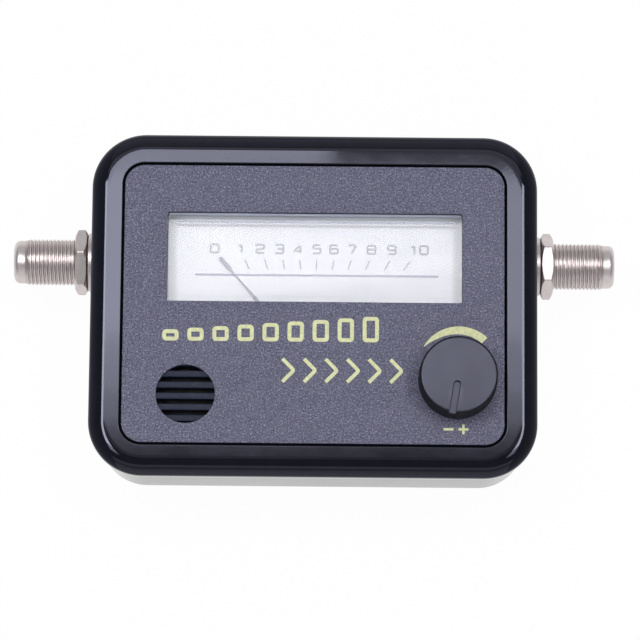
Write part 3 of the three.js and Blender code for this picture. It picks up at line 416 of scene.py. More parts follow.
def skinned(name, loops, ends=True):
    """A closed skin over a stack of loops. Without ends the last loop joins the first."""
    count = len(loops[0])
    points = [point for loop in loops for point in loop]
    faces = []
    levels = len(loops) - 1 if ends else len(loops)
    for level in range(levels):
        for at in range(count):
            following = (at + 1) % count
            low = level * count
            high = (level + 1) % len(loops) * count
            faces.append((low + at, low + following, high + following, high + at))
    if ends:
        faces.append(tuple(reversed(range(count))))
        faces.append(tuple(range((len(loops) - 1) * count, len(loops) * count)))
    return solid(name, points, faces)


def raised(name, outline, low, high):
    """An upright solid over a flat outline of pairs."""
    return skinned(name, [[(x, y, z) for x, y in outline] for z in (low, high)])


def mirrored(half):
    """The outline that half of it makes with its mirror image."""
    return [*half, *((-x, y) for x, y in reversed(half))]


def circle(radius, z, sides=ROUND_SIDES, centre=(0, 0)):
    turns = (side / sides * math.tau for side in range(sides))
    return [(centre[0] + radius * math.cos(a), centre[1] + radius * math.sin(a), z) for a in turns]


def cylinder(radius, bottom, top, centre=(0, 0), sides=ROUND_SIDES):
    return skinned("cylinder", [circle(radius, z, sides, centre) for z in (bottom, top)])


def cylinders(places, radius, bottom, top, sides=ROUND_SIDES):
    return [cylinder(radius, bottom, top, place, sides) for place in places]


def block(size_x, size_y, bottom, top, centre=(0, 0), corner=SQUARE_CORNER, steps=1):
    loops = [rounded_loop(size_x / 2, size_y / 2, corner, z, steps) for z in (bottom, top)]
    made = skinned("block", loops)
    made.data.transform(Matrix.Translation((centre[0] * MM, centre[1] * MM, 0)))
    return made


def arc(centre, radius, start, end, steps):
    """Points of an arc as pairs, with its angles in degrees."""
    turns = (math.radians(start + (end - start) * step / steps) for step in range(steps + 1))
    return [(centre[0] + radius * math.cos(a), centre[1] + radius * math.sin(a)) for a in turns]


def turned(name, profile, sides=ROUND_SIDES, closed=True):
    """A profile of radius and height pairs, turned about Z. A profile that isn't closed gets flat ends."""
    return skinned(name, [circle(radius, z, sides) for radius, z in profile], ends=not closed)


def placed(piece, matrix):
    piece.data.transform(matrix)
    return piece


def at_millimetres(x, y, z):
    return Matrix.Translation((x * MM, y * MM, z * MM))


def stroke(name, paths, width, z):
    """Flat printed strokes of one width along paths of pairs. A path is (points, closed)."""
    curve = bpy.data.curves.new(name, "CURVE")
    curve.dimensions = "3D"
    curve.bevel_depth = width / 2 * MM
    curve.bevel_resolution = 2
    curve.use_fill_caps = True
    for points, closed in paths:
        spline = curve.splines.new("POLY")
        spline.points.add(len(points) - 1)
        spline.use_cyclic_u = closed
        for point, (x, y) in zip(spline.points, points):
            point.co = (x * MM, y * MM, 0, 1)
    drawn = link(curve, name)
    mesh = evaluated_mesh(drawn)
    bpy.data.objects.remove(drawn)
    flatten = Matrix.Diagonal((1, 1, PRINT_THICKNESS / width, 1))
    mesh.transform(at_millimetres(0, 0, z + PRINT_THICKNESS / 2 - PRINT_SINK) @ flatten)
    return smooth(link(mesh, name))


def softened(points, rounding, closed, steps=4):
    """A path of pairs with its corners rounded."""
    count = len(points)
    path = []
    for at, point in enumerate(points):
        here = Vector(point)
        if not closed and at in (0, count - 1):
            path.append(tuple(here))
            continue
        before = Vector(points[at - 1]) - here
        after = Vector(points[(at + 1) % count]) - here
        reach = min(rounding, before.length / 2, after.length / 2)
        start = here + before.normalized() * reach
        end = here + after.normalized() * reach
        for step in range(steps + 1):
            t = step / steps
            path.append(tuple(start * (1 - t) ** 2 + here * 2 * t * (1 - t) + end * t ** 2))
    return path


# Materials

class Look:
    """A material built from nodes, with its patterns in the object's own coordinates."""

    def __init__(self, name, color, roughness, metallic=0.0, **sockets):
        self.material = bpy.data.materials.new(f"{name}_finish")
        self.material.use_nodes = True
        self.nodes = self.material.node_tree.nodes
        self.links = self.material.node_tree.links
        self.shader = self.nodes["Principled BSDF"]
        self.color = color
        self.shader.inputs["Base Color"].default_value = (*color, 1)
        self.shader.inputs["Roughness"].default_value = roughness
        self.shader.inputs["Metallic"].default_value = metallic
        for socket, value in sockets.items():
            self.shader.inputs[socket.replace("_", " ")].default_value = value
        self.place = self.nodes.new("ShaderNodeTexCoord").outputs["Object"]

    def stretched(self, x, y, z):
        mapping = self.nodes.new("ShaderNodeMapping")
        mapping.inputs["Scale"].default_value = (x, y, z)
        self.links.new(self.place, mapping.inputs["Vector"])
        return mapping.outputs["Vector"]

    def noise(self, grain, detail=3, roughness=0.55, place=None):
        """Noise whose grain is that many millimetres."""
        texture = self.nodes.new("ShaderNodeTexNoise")
        texture.inputs["Scale"].default_value = 1 / (grain * MM)
        texture.inputs["Detail"].default_value = detail
        texture.inputs["Roughness"].default_value = roughness
        self.links.new(place or self.place, texture.inputs["Vector"])
        return texture.outputs["Fac"]

    def ramp(self, value, stops):
        ramp = self.nodes.new("ShaderNodeValToRGB")
        elements = ramp.color_ramp.elements
        while len(elements) < len(stops):
            elements.new(0.5)
        for element, (position, color) in zip(elements, stops):
            element.position = position
            element.color = (*color, 1)
        self.links.new(value, ramp.inputs["Fac"])
        return ramp.outputs["Color"]

    def ranged(self, value, low, high):
        """Noise spread from low to high."""
        spread = self.nodes.new("ShaderNodeMapRange")
        ends = (("From Min", NOISE_LOW), ("From Max", NOISE_HIGH), ("To Min", low), ("To Max", high))
        for socket, number in ends:
            spread.inputs[socket].default_value = number
        self.links.new(value, spread.inputs["Value"])
        return spread.outputs["Result"]

    def mottled(self, value, dark, light):
        """Base colour between the dark and the light share of the look's own colour."""
        ends = ((NOISE_LOW, dark), (NOISE_HIGH, light))
        stops = [(place, [min(1, c * share) for c in self.color]) for place, share in ends]
        self.links.new(self.ramp(value, stops), self.shader.inputs["Base Color"])

    def rough(self, value, low, high):
        self.links.new(self.ranged(value, low, high), self.shader.inputs["Roughness"])

    def bump(self, value, depth, strength):
        """Relief of that many millimetres, the last step of a look."""
        bump = self.nodes.new("ShaderNodeBump")
        bump.inputs["Distance"].default_value = depth * MM
        bump.inputs["Strength"].default_value = strength
        self.links.new(value, bump.inputs["Height"])
        self.links.new(bump.outputs["Normal"], self.shader.inputs["Normal"])
        return self.material

    def shown_as(self, shader, rays, share=1):
        """The material with that share of another shader in these kinds of rays."""
        kinds = self.nodes.new("ShaderNodeLightPath").outputs
        chosen = kinds[rays[0]]
        for ray in rays[1:]:
            either = self.nodes.new("ShaderNodeMath")
            either.operation = "MAXIMUM"
            self.links.new(chosen, either.inputs[0])
            self.links.new(kinds[ray], either.inputs[1])
            chosen = either.outputs["Value"]
        part = self.nodes.new("ShaderNodeMath")
        part.operation = "MULTIPLY"
        part.inputs[1].default_value = share
        self.links.new(chosen, part.inputs[0])
        mix = self.nodes.new("ShaderNodeMixShader")
        self.links.new(part.outputs["Value"], mix.inputs["Fac"])
        self.links.new(self.shader.outputs["BSDF"], mix.inputs[1])
        self.links.new(shader, mix.inputs[2])
        self.links.new(mix.outputs["Shader"], self.nodes["Material Output"].inputs["Surface"])
        return self.material


def gloss_shell_look(name, low, high):
    """Glossy black plastic with a roughness between low and high."""
    tint = (0.76, 0.78, 1, 1)
    look = Look(name, (0.006, 0.006, 0.01), low, Specular_IOR_Level=0.46, Specular_Tint=tint)
    look.rough(look.noise(grain=9, detail=5, roughness=0.6), low, high)
    look.mottled(look.noise(grain=3), dark=0.85, light=1.15)
    return look.bump(look.noise(grain=2.6, detail=2), depth=0.003, strength=0.5)


def face_plate_look():
    look = Look("face_plate", (0.1, 0.1, 0.145), 0.55)
    sparkle = look.noise(grain=0.33, roughness=0.75)
    colors = [
        (0.34, (0.03, 0.029, 0.056)),
        (0.5, (0.09, 0.09, 0.152)),
        (0.61, (0.183, 0.186, 0.286)),
        (0.72, (0.44, 0.445, 0.59)),
    ]
    look.links.new(look.ramp(sparkle, colors), look.shader.inputs["Base Color"])
    look.rough(look.noise(grain=0.8), low=0.42, high=0.68)
    return look.bump(look.noise(grain=0.36, roughness=0.7), depth=0.05, strength=0.8)


def knob_look():
    tint = (0.75, 0.76, 1, 1)
    look = Look("knob", (0.007, 0.007, 0.011), 0.36, Specular_IOR_Level=0.82, Specular_Tint=tint)
    look.mottled(look.noise(grain=3.5, detail=4), dark=0.9, light=1.1)
    look.rough(look.noise(grain=4), low=0.34, high=0.4)
    return look.bump(look.noise(grain=0.4, detail=2), depth=0.003, strength=0.5)


def clear_look():
    """Thin clear plastic with a polished coat that lets the lamps through to what is behind it."""
    coat = {"Coat_Weight": 1, "Coat_IOR": 1.2}
    look = Look("clear_cover", (0.98, 0.985, 1), 0, Transmission_Weight=1, IOR=1, **coat)
    sheen = look.ranged(look.noise(grain=8, detail=4), low=0.06, high=0.1)
    look.links.new(sheen, look.shader.inputs["Coat Roughness"])
    passed = look.nodes.new("ShaderNodeBsdfTransparent")
    return look.shown_as(passed.outputs["BSDF"], ["Is Shadow Ray", "Is Diffuse Ray"])


def dial_look():
    look = Look("dial", (0.85, 0.855, 0.89), 0.6)
    look.mottled(look.noise(grain=7), dark=0.97, light=1.03)
    return look.bump(look.noise(grain=0.3), depth=0.005, strength=0.4)


def matt_look(name, color, roughness=0.6, grain=0.5):
    look = Look(name, color, roughness)
    look.mottled(look.noise(grain), dark=0.93, light=1.07)
    return look.material


def face_print_look():
    look = Look("face_print", (0.71, 0.73, 0.41), 0.55)
    look.mottled(look.noise(grain=0.55, detail=4, roughness=0.7), dark=0.82, light=1.14)
    look.rough(look.noise(grain=0.8), low=0.45, high=0.65)
    return look.bump(look.noise(grain=0.45, roughness=0.6), depth=0.02, strength=0.5)


def plastic_look(name, color, roughness=0.5, grain=1.2, relief=0.01, specular=0.5):
    look = Look(name, color, roughness, Specular_IOR_Level=specular)
    look.mottled(look.noise(grain * 4, detail=4), dark=0.92, light=1.08)
    look.rough(look.noise(grain * 2, detail=4), low=roughness - 0.08, high=roughness + 0.1)
    return look.bump(look.noise(grain), relief, strength=0.5)


def metal_look(name, color, roughness, relief=0.006):
    """Bright metal with fine marks that run round the turned pieces, which lie along X."""
    look = Look(name, color, roughness, 1.0)
    look.mottled(look.noise(grain=2.5, detail=4), dark=0.93, light=1.05)
    marks = look.noise(grain=1.6, detail=4, roughness=0.6, place=look.stretched(x=5, y=1, z=1))
    look.rough(marks, low=roughness - 0.05, high=roughness + 0.08)
    return look.bump(marks, relief, strength=0.35)


# Looks by slot, with colour, roughness, grain in millimetres and relief
LOOKS = {
    "black_shell": gloss_shell_look("black_shell", 0.035, 0.065),
    "face_plate": face_plate_look(),
    "rear_case": gloss_shell_look("rear_case", 0.08, 0.14),
    "knob": knob_look(),
    "clear_cover": clear_look(),
    "dial": dial_look(),
    "needle": matt_look("needle", (0.44, 0.43, 0.51), 0.65, grain=1.5),
    "white_plastic": plastic_look("white_plastic", (0.78, 0.78, 0.76)),
    "board": plastic_look("board", (0.03, 0.16, 0.05), 0.35, 0.6),
    "capacitor": plastic_look("capacitor", (0.015, 0.022, 0.075), 0.35),
    "chip": plastic_look("chip", (0.018, 0.019, 0.021), 0.5, 0.4),
    "ferrite": plastic_look("ferrite", (0.045, 0.047, 0.05), 0.6, 0.3, 0.02),
    "iron": metal_look("iron", (0.3, 0.31, 0.33), 0.45),
    "wafer": plastic_look("wafer", (0.2, 0.09, 0.035), 0.55, 0.8),
    "nickel": metal_look("nickel", (0.66, 0.6, 0.595), 0.35, 0.001),
    "steel": metal_look("steel", (0.5, 0.5, 0.52), 0.3),
    "brass": metal_look("brass", (0.62, 0.43, 0.17), 0.3),
    "copper": metal_look("copper", (0.6, 0.24, 0.1), 0.32),
    "insulator": plastic_look("insulator", (0.82, 0.8, 0.72), 0.45, 0.8),
}
SHELL_DECK = plastic_look("shell_deck", (0.014, 0.018, 0.043), 0.48, 0.5, specular=0.22)
# A darker, duller copy of the knob's plastic for its sides: painted shade
KNOB_SIDE_PAINTED_SHADE = plastic_look("knob_side_painted_shade", (0.004, 0.004, 0.008), 0.6, 0.4, specular=0.2)
# Near-black, almost unreflective walls round the face plate: painted shade in the groove
GROOVE_PAINTED_SHADE = plastic_look("groove_painted_shade", (0.003, 0.003, 0.006), 0.8, 0.5, specular=0.05)
# Frosted pale lavender on the cover's upper walls only: painted light caught in the clear wall
COVER_WALL_PAINTED_LIGHT = plastic_look("cover_wall_painted_light", (0.78, 0.81, 0.96), 0.35)
# Darker metal below the thread's crests: painted shade in the thread roots
THREAD_ROOT_PAINTED_SHADE = metal_look("painted_thread_root_shade", (0.55, 0.48, 0.475), 0.36, 0.001)
# Near-black sounder disc behind the grille: painted shade inside the case
SOUNDER_PAINTED_SHADE = plastic_look("sounder_painted_shade", (0.006, 0.006, 0.008), 0.5)
DIAL_INK = matt_look("dial_ink", (0.5, 0.5, 0.53))
DIAL_LINE_INK = matt_look("dial_line", (0.47, 0.44, 0.56))
FACE_PRINT = face_print_look()


def finished(piece, slot, body="case", material=None, stands_for=()):
    """Gives a piece its material, the slot's look unless another is given, and lets it ride and stand for
    its nodes.
    """
    piece.data.materials.clear()
    piece.data.materials.append(material or LOOKS[slot])
    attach(piece, body)
    if stands_for:
        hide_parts(*stands_for)


# Front shell: groove lip, flat band, rounded edge, skirt, rim and deck

def shell_loops():
    groove_sizes = (size + PLATE_GROOVE for size in (PLATE_HIGH.x, PLATE_HIGH.y, PLATE_CORNER))
    groove = outline_loops(*groove_sizes)
    outer = outline_loops(SHELL_HIGH.x, SHELL_HIGH.y, CASE_CORNER)
    rim_sizes = (REAR_HIGH.x, REAR_HIGH.y, CASE_CORNER - REAR_INSET)
    rim = outline_loops(*(size - REAR_WALL - RIM_GAP for size in rim_sizes))
    loops = [groove(PLATE_GROOVE + LIP_RADIUS, DECK_TOP), groove(0, DECK_TOP)]
    for rise, run in quarter_turn(LIP_STEPS):
        loops.append(groove(-LIP_RADIUS * (1 - run), CASE_TOP - LIP_RADIUS * (1 - rise)))
    inner_edge, outer_edge = groove(-LIP_RADIUS, CASE_TOP), outer(EDGE_REACH, CASE_TOP)
    for step in range(BAND_STEPS):
        loops.append(between(inner_edge, outer_edge, (step + BAND_START) / BAND_STEPS))
    for step in range(EDGE_STEPS + 1):
        angle = (1 - step / EDGE_STEPS) * math.pi / 2
        reach = EDGE_REACH * (1 - math.cos(angle) ** (2 / EDGE_FULLNESS))
        loops.append(outer(reach, CASE_TOP - EDGE_DROP * (1 - math.sin(angle) ** (2 / EDGE_FULLNESS))))
    for rise, run in quarter_turn(LIP_STEPS):
        loops.append(outer(SKIRT_ROUNDING * (1 - run), PARTING + SKIRT_ROUNDING * (1 - rise)))
    loops += [rim(0, PARTING), rim(0, RIM_BOTTOM)]
    return loops + [rim(RIM_THICKNESS, RIM_BOTTOM), rim(RIM_THICKNESS, DECK_UNDERSIDE)]


def window_block(bottom, top, gap=0):
    size = WINDOW_SIZE - Vector((2 * gap, 2 * gap))
    return block(size.x, size.y, bottom, top, WINDOW_CENTRE, WINDOW_CORNER, steps=6)


def grille_slots():
    low, high = DECK_UNDERSIDE - OVERRUN, DECK_TOP + OVERRUN
    slots = []
    for slot in range(SLOT_COUNT):
        offset = SLOT_RISE + (slot - (SLOT_COUNT - 1) / 2) * SLOT_PITCH
        near, far = abs(offset) - SLOT_WIDTH / 2, abs(offset) + SLOT_WIDTH / 2
        ends = (math.asin(min(1, reach / GRILLE_RADIUS)) for reach in (near, far))
        start, end = (math.degrees(math.copysign(angle, offset)) for angle in ends)
        outline = mirrored(arc((0, 0), GRILLE_RADIUS, start, end, steps=8))
        placed_outline = [(GRILLE_CENTRE.x + x, GRILLE_CENTRE.y + y) for x, y in outline]
        slots.append(raised("slot", placed_outline, low, high))
    return slots


def screw_places():
    return [(x * SCREW_PLACE.x, y * SCREW_PLACE.y) for x, y in CORNER_SIDES]


def both_sides(place):
    return [(place.x, place.y), (-place.x, place.y)]


def make_front_shell():
    shell = skinned("black_front_shell", shell_loops())
    boss_top = DECK_UNDERSIDE + OVERLAP
    bosses = cylinders(screw_places(), BOSS_RADIUS, PILLAR_TOP + RIM_GAP, boss_top, POST_SIDES)
    combined(shell, bosses, "UNION")
    pilots = cylinders(screw_places(), PILOT_RADIUS, PILLAR_TOP - OVERRUN, PILOT_TOP, SMALL_SIDES)
    window = window_block(DECK_UNDERSIDE - OVERRUN, CASE_TOP)
    bush = cylinder(BUSH_HOLE, DECK_UNDERSIDE - OVERRUN, CASE_TOP, KNOB_CENTRE)
    combined(shell, [*pilots, window, bush, *grille_slots()], "DIFFERENCE")

    def on_grille(point):
        flat = Vector((point.x, point.y)) - GRILLE_CENTRE
        return abs(point.z - DECK_TOP) < NEARBY and flat.length < GRILLE_RADIUS + NEARBY

    rounded_edges(shell, SLOT_EDGE, on_grille)
    finished(smooth(shell), "black_shell", stands_for=["front_shell"])
    shell.data.materials.append(SHELL_DECK)
    # The walls of the groove round the plate take the painted shade
    shell.data.materials.append(GROOVE_PAINTED_SHADE)
    for face in shell.data.polygons:
        centre = face.center / MM
        from_edge_x = PLATE_HIGH.x + PLATE_GROOVE - abs(centre.x)
        from_edge_y = PLATE_HIGH.y + PLATE_GROOVE - abs(centre.y)
        nearest = min(from_edge_x, from_edge_y)
        if nearest > PLATE_CORNER and centre.z < DECK_TOP + NEARBY:
            face.material_index = 1
        elif nearest > -NEARBY and DECK_UNDERSIDE + NEARBY < centre.z < CASE_TOP - LIP_RADIUS:
            face.material_index = 2


# Face plate: a flat sheet with a fine rounded edge at its outline and holes

def plate_loops():
    outer = outline_loops(PLATE_HIGH.x, PLATE_HIGH.y, PLATE_CORNER)
    loops = [outer(0, DECK_TOP)]
    for rise, run in quarter_turn(LIP_STEPS):
        loops.append(outer(PLATE_EDGE * (1 - run), CASE_TOP - PLATE_EDGE * (1 - rise)))
    return loops


def make_face_plate():
    plate = skinned("speckled_face_plate", plate_loops())
    low, high = DECK_TOP - OVERRUN, CASE_TOP + OVERRUN
    grille = cylinder(GRILLE_RADIUS, low, high, GRILLE_CENTRE, FINE_SIDES)
    bush = cylinder(BUSH_HOLE, low, high, KNOB_CENTRE)
    combined(plate, [window_block(low, high), grille, bush], "DIFFERENCE")

    def on_hole(point):
        inside = abs(point.x) < PLATE_HIGH.x - PLATE_CORNER and abs(point.y) < PLATE_HIGH.y - PLATE_CORNER
        return inside and abs(point.z - CASE_TOP) < TOUCHING

    rounded_edges(plate, PLATE_EDGE, on_hole)
    finished(smooth(plate), "face_plate", stands_for=["face_plate"])


# Rear case: a tub with rounded back edges, screw pillars and posts

def rear_loops():
    outer = outline_loops(REAR_HIGH.x, REAR_HIGH.y, CASE_CORNER - REAR_INSET)
    loops = []
    for rise, run in quarter_turn(EDGE_STEPS):
        loops.append(outer(REAR_EDGE * (1 - rise), REAR_EDGE * (1 - run)))
    return loops + [outer(0, PARTING), outer(REAR_WALL, PARTING), outer(REAR_WALL, REAR_WALL)]


def make_rear_case():
    rear = skinned("black_rear_case", rear_loops())
    sink = REAR_WALL / 2
    posts = cylinders(screw_places(), PILLAR_RADIUS, sink, PILLAR_TOP, TURNED_SIDES)
    posts += cylinders(both_sides(BOARD_SCREW_PLACE), POST_RADIUS, sink, POST_TOP, POST_SIDES)
    posts += cylinders(both_sides(PEG_PLACE), POST_RADIUS, sink, POST_TOP, POST_SIDES)
    posts += cylinders(both_sides(PEG_PLACE), PEG_RADIUS, sink, PEG_TOP, SMALL_SIDES)
    combined(rear, posts, "UNION")
    cuts = cylinders(screw_places(), COUNTERBORE_RADIUS, -OVERRUN, COUNTERBORE_DEPTH)
    cuts += cylinders(screw_places(), SCREW_CLEARANCE, 0, PILLAR_TOP + OVERRUN, SMALL_SIDES)
    hole_low, hole_high = POST_TOP - BOARD_SCREW_DEPTH, POST_TOP + OVERRUN
    cuts += cylinders(both_sides(BOARD_SCREW_PLACE), BOARD_SCREW_HOLE, hole_low, hole_high, SMALL_SIDES)
    reach = SOCKET_WALL + OVERRUN
    socket_hole = cylinder(WASHER_BORE, -reach, reach)
    across = at_millimetres(0, *SOCKET_PLACE) @ Matrix.Rotation(math.pi / 2, 4, "Y")
    cuts.append(placed(socket_hole, across))
    combined(rear, cuts, "DIFFERENCE")

    def on_counterbore(point):
        return abs(point.z) < NEARBY and abs(point.y) < REAR_HIGH.y - REAR_EDGE - NEARBY

    rounded_edges(rear, COUNTERBORE_EDGE, on_counterbore, steps=4)
    finished(smooth(rear), "rear_case", stands_for=["rear_case"])


# Case screws, with a domed head, a cross recess and a coarse thread

def screw_profile():
    head_edge = SCREW_HEAD_HEIGHT - SCREW_DOME
    profile = [(AXIS_RADIUS, -SCREW_HEAD_HEIGHT)]
    for rise, run in list(quarter_turn(steps=10))[1:]:
        profile.append((SCREW_HEAD * rise, -head_edge - SCREW_DOME * run))
    profile += [(SCREW_HEAD, -WASHER_EDGE), (SCREW_HEAD - WASHER_EDGE, 0), (SCREW_SHANK, 0)]
    root = SCREW_SHANK - SCREW_THREAD_DEPTH
    turns = int((SCREW_LENGTH - 2 * SCREW_SHANK) / SCREW_PITCH)
    for turn in range(turns):
        start = SCREW_SHANK + turn * SCREW_PITCH
        profile.append((root, start + SCREW_PITCH * SCREW_ROOT_SHARE))
        profile.append((SCREW_SHANK, start + SCREW_PITCH * SCREW_CREST_SHARE))
    profile += [(root, SCREW_LENGTH - SCREW_SHANK), (AXIS_RADIUS, SCREW_LENGTH)]
    return profile


def cross_recess(turn):
    arms = []
    for quarter in (0, 90):
        top, bottom = -SCREW_HEAD_HEIGHT - OVERRUN, -SCREW_HEAD_HEIGHT + CROSS_DEPTH
        half = CROSS_WIDTH / 2
        wide = [(-CROSS_REACH, -half), (CROSS_REACH, -half), (CROSS_REACH, half), (-CROSS_REACH, half)]
        narrow = [(x * CROSS_REACH_SHARE, y * CROSS_WIDTH_SHARE) for x, y in wide]
        loops = [[(x, y, top) for x, y in wide], [(x, y, bottom) for x, y in narrow]]
        turned_by = Matrix.Rotation(math.radians(turn + quarter), 4, "Z")
        arms.append(placed(skinned("arm", loops), turned_by))
    return arms


def make_case_screws():
    for number, (place, turn) in enumerate(zip(screw_places(), CROSS_TURNS), start=1):
        screw = turned(f"domed_case_screw_{number}", screw_profile(), POST_SIDES, closed=False)
        combined(screw, cross_recess(turn), "DIFFERENCE")
        placed(screw, at_millimetres(*place, COUNTERBORE_DEPTH))
        finished(smooth(screw), "steel", stands_for=[f"case_screw_{number}"])


# Clear cover over the window

def make_window_cover():
    cover = window_block(LENS_LOW, LENS_TOP, LENS_GAP)
    cover.name = "clear_window_cover"

    def on_top(point):
        return abs(point.z - LENS_TOP) < NEARBY

    rounded_edges(cover, LENS_EDGE, on_top, steps=4)
    box_low, box_high = (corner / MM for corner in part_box("meter_lens"))
    tray_low = WINDOW_CENTRE.y - WINDOW_SIZE.y / 2 - (box_high.y - WINDOW_CENTRE.y - WINDOW_SIZE.y / 2)
    flange_top = LENS_LOW + LENS_FLANGE
    tray_centre = ((box_low.x + box_high.x) / 2, (box_high.y + tray_low) / 2)
    flange = block(box_high.x - box_low.x, box_high.y - tray_low, LENS_LOW, flange_top, tray_centre)
    cup_centre = (PIVOT.x, (box_low.y + WINDOW_CENTRE.y) / 2)
    cup = block(2 * CUP_REACH, WINDOW_CENTRE.y - box_low.y, LENS_LOW, flange_top, cup_centre)
    combined(cover, [flange, cup], "UNION")
    cavity = window_block(LENS_LOW - OVERRUN, LENS_TOP - LENS_THICKNESS, LENS_GAP + LENS_WALL)
    combined(cover, [cavity], "DIFFERENCE")
    finished(smooth(cover), "clear_cover", stands_for=["meter_lens"])
    # The walls on the window's upper side take the painted light
    cover.data.materials.append(COVER_WALL_PAINTED_LIGHT)
    wall = WINDOW_CENTRE.y + WINDOW_SIZE.y / 2 - LENS_GAP - LENS_WALL - NEARBY
    for face in cover.data.polygons:
        if face.center.y / MM > wall and abs(face.normal.y) > LENS_WALL_SLOPE:
            face.material_index = 1


# Dial: numbers, ticks and base line printed on the plate

# Strokes of each digit, as shares of its width and height
DIGIT_SHARES = {
    "0": [([(0, 0), (1, 0), (1, 1), (0, 1)], True)],
    "1": [([(0.2, 0.78), (0.6, 1), (0.6, 0)], False)],
    "2": [([(0, 0.8), (0, 1), (1, 1), (1, 0.5), (0, 0.45), (0, 0), (1, 0)], False)],
    "3": [([(0, 1), (1, 1), (1, 0), (0, 0)], False), ([(0.3, 0.52), (1, 0.52)], False)],
    "4": [([(0.78, 0), (0.78, 1), (0, 0.26), (1.05, 0.26)], False)],
    "5": [([(1, 1), (0.08, 1), (0.04, 0.58), (1, 0.6), (1, 0), (0, 0)], False)],
    "6": [([(0.92, 1), (0, 1), (0, 0), (1, 0), (1, 0.56), (0, 0.56)], False)],
    "7": [([(0, 1), (1, 1), (0.35, 0)], False)],
    "8": [([(0, 0), (1, 0), (1, 1), (0, 1)], True), ([(0, 0.52), (1, 0.52)], False)],
    "9": [([(0.08, 0), (1, 0), (1, 1), (0, 1), (0, 0.44), (1, 0.44)], False)],
}


def digit_paths(digit, centre_x):
    paths = []
    for points, closed in DIGIT_SHARES[digit]:
        scaled = [
            (centre_x + (x - 0.5) * DIGIT_WIDTH, DIGIT_Y + (y - 0.5) * DIGIT_HEIGHT)
            for x, y in points
        ]
        paths.append((softened(scaled, DIGIT_ROUNDING, closed), closed))
    return paths


def print_on_dial(name, paths, width, ink=DIAL_INK):
    finished(stroke(name, paths, width, DIAL_TOP), "dial", material=ink)


def make_dial_numbers():
    paths = []
    for number, place in enumerate(DIGIT_PLACES):
        digits = str(number)
        for at, digit in enumerate(digits):
            paths += digit_paths(digit, place + (at - (len(digits) - 1) / 2) * TEN_GAP)
    print_on_dial("dial_numbers", paths, DIGIT_STROKE)


def make_dial_ticks():
    paths = []
    share = (TICK_HIGH - TICK_LOW) / (TICK_HIGH - FAN_CENTRE.y)
    for x in TICK_PLACES:
        top = Vector((x, TICK_HIGH))
        bottom = top.lerp(FAN_CENTRE, share)
        paths.append(([tuple(top), tuple(bottom)], False))
    print_on_dial("dial_ticks", paths, TICK_WIDTH)


def make_dial_line():
    path = ([(LINE_LEFT, LINE_Y), (LINE_RIGHT, LINE_Y)], False)
    print_on_dial("dial_base_line", [path], LINE_WIDTH, DIAL_LINE_INK)


# Needle: a flag at the tip, a thin stem, a crank down to the hub and a tail

def make_needle():
    hub_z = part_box("needle")[0].z / MM
    loops = []
    for z, rows in ((hub_z, HUB_ARM), (NEEDLE_BOTTOM, DIAL_ARM)):
        top = z + NEEDLE_THICKNESS
        for reach, width in rows:
            half = width / 2
            loops.append([(-half, reach, z), (half, reach, z), (half, reach, top), (-half, reach, top)])
    needle = skinned("flagged_needle", loops)
    hub_top = hub_z + HUB_THICKNESS
    hub_profile = [(HUB_BORE, hub_z), (HUB_RADIUS, hub_z), (HUB_RADIUS, hub_top), (HUB_BORE, hub_top)]
    hub = turned("hub", hub_profile, TURNED_SIDES)
    combined(needle, [hub, raised("tail", mirrored(TAIL_HALF), hub_z, hub_top)], "UNION")
    placed(needle, at_millimetres(*PIVOT, 0) @ Matrix.Rotation(NEEDLE_TURN, 4, "Z"))
    finished(smooth(needle), "needle", "needle_coil", stands_for=["needle"])


# Knob: turned, with a pointer groove cut in its face and side

def make_knob():
    foot = arc((KNOB_BASE - KNOB_FOOT, KNOB_BOTTOM + KNOB_FOOT), KNOB_FOOT, -90, 0, LIP_STEPS)
    shoulder_z = KNOB_TOP - KNOB_SHOULDER_DROP
    shoulder = []
    for rise, run in quarter_turn(steps=8):
        radius = KNOB_FACE + (KNOB_SHOULDER - KNOB_FACE) * run
        shoulder.append((radius, shoulder_z + KNOB_SHOULDER_DROP * rise))
    recess_top = KNOB_TOP - KNOB_ROOF
    bore_top = KNOB_TOP - SHAFT_ROOF
    profile = [
        (AXIS_RADIUS, bore_top), (SHAFT_BORE, bore_top),
        (SHAFT_BORE, recess_top), (KNOB_RECESS, recess_top),
        (KNOB_RECESS, KNOB_BOTTOM), *foot,
        *shoulder, (AXIS_RADIUS, KNOB_TOP),
    ]
    knob = turned("turned_gain_knob", profile, FINE_SIDES, closed=False)
    half = POINTER_WIDTH / 2
    end = -KNOB_BASE - OVERRUN
    outline = [(half, end), *arc((0, -POINTER_START - half), half, 0, 180, steps=16), (-half, end)]
    combined(knob, [raised("groove", outline, KNOB_TOP - POINTER_DEPTH, KNOB_TOP + OVERRUN)], "DIFFERENCE")

    def on_groove(point):
        return abs(abs(point.x) - half) < TOUCHING and point.z > KNOB_TOP - TOUCHING

    rounded_edges(knob, POINTER_EDGE, on_groove)
    placed(knob, at_millimetres(*KNOB_CENTRE, 0) @ Matrix.Rotation(KNOB_TURN, 4, "Z"))
    finished(smooth(knob), "knob", "gain_control", stands_for=["gain_knob"])
    # Faces that slope away from the knob's top take the painted shade
    knob.data.materials.append(KNOB_SIDE_PAINTED_SHADE)
    for face in knob.data.polygons:
        if face.normal.z < KNOB_FACE_SLOPE:
            face.material_index = 1


# Sockets

def thread_share(phase):
    """How deep the thread is at a phase of its turn, from 0 at the crest to 1 at the root."""
    across = abs(2 * (phase % 1) - 1)
    flat = min(1, max(0, (across - THREAD_ROOT_SHARE) / THREAD_FLANK_SHARE))
    return 1 - flat * flat * (3 - 2 * flat)


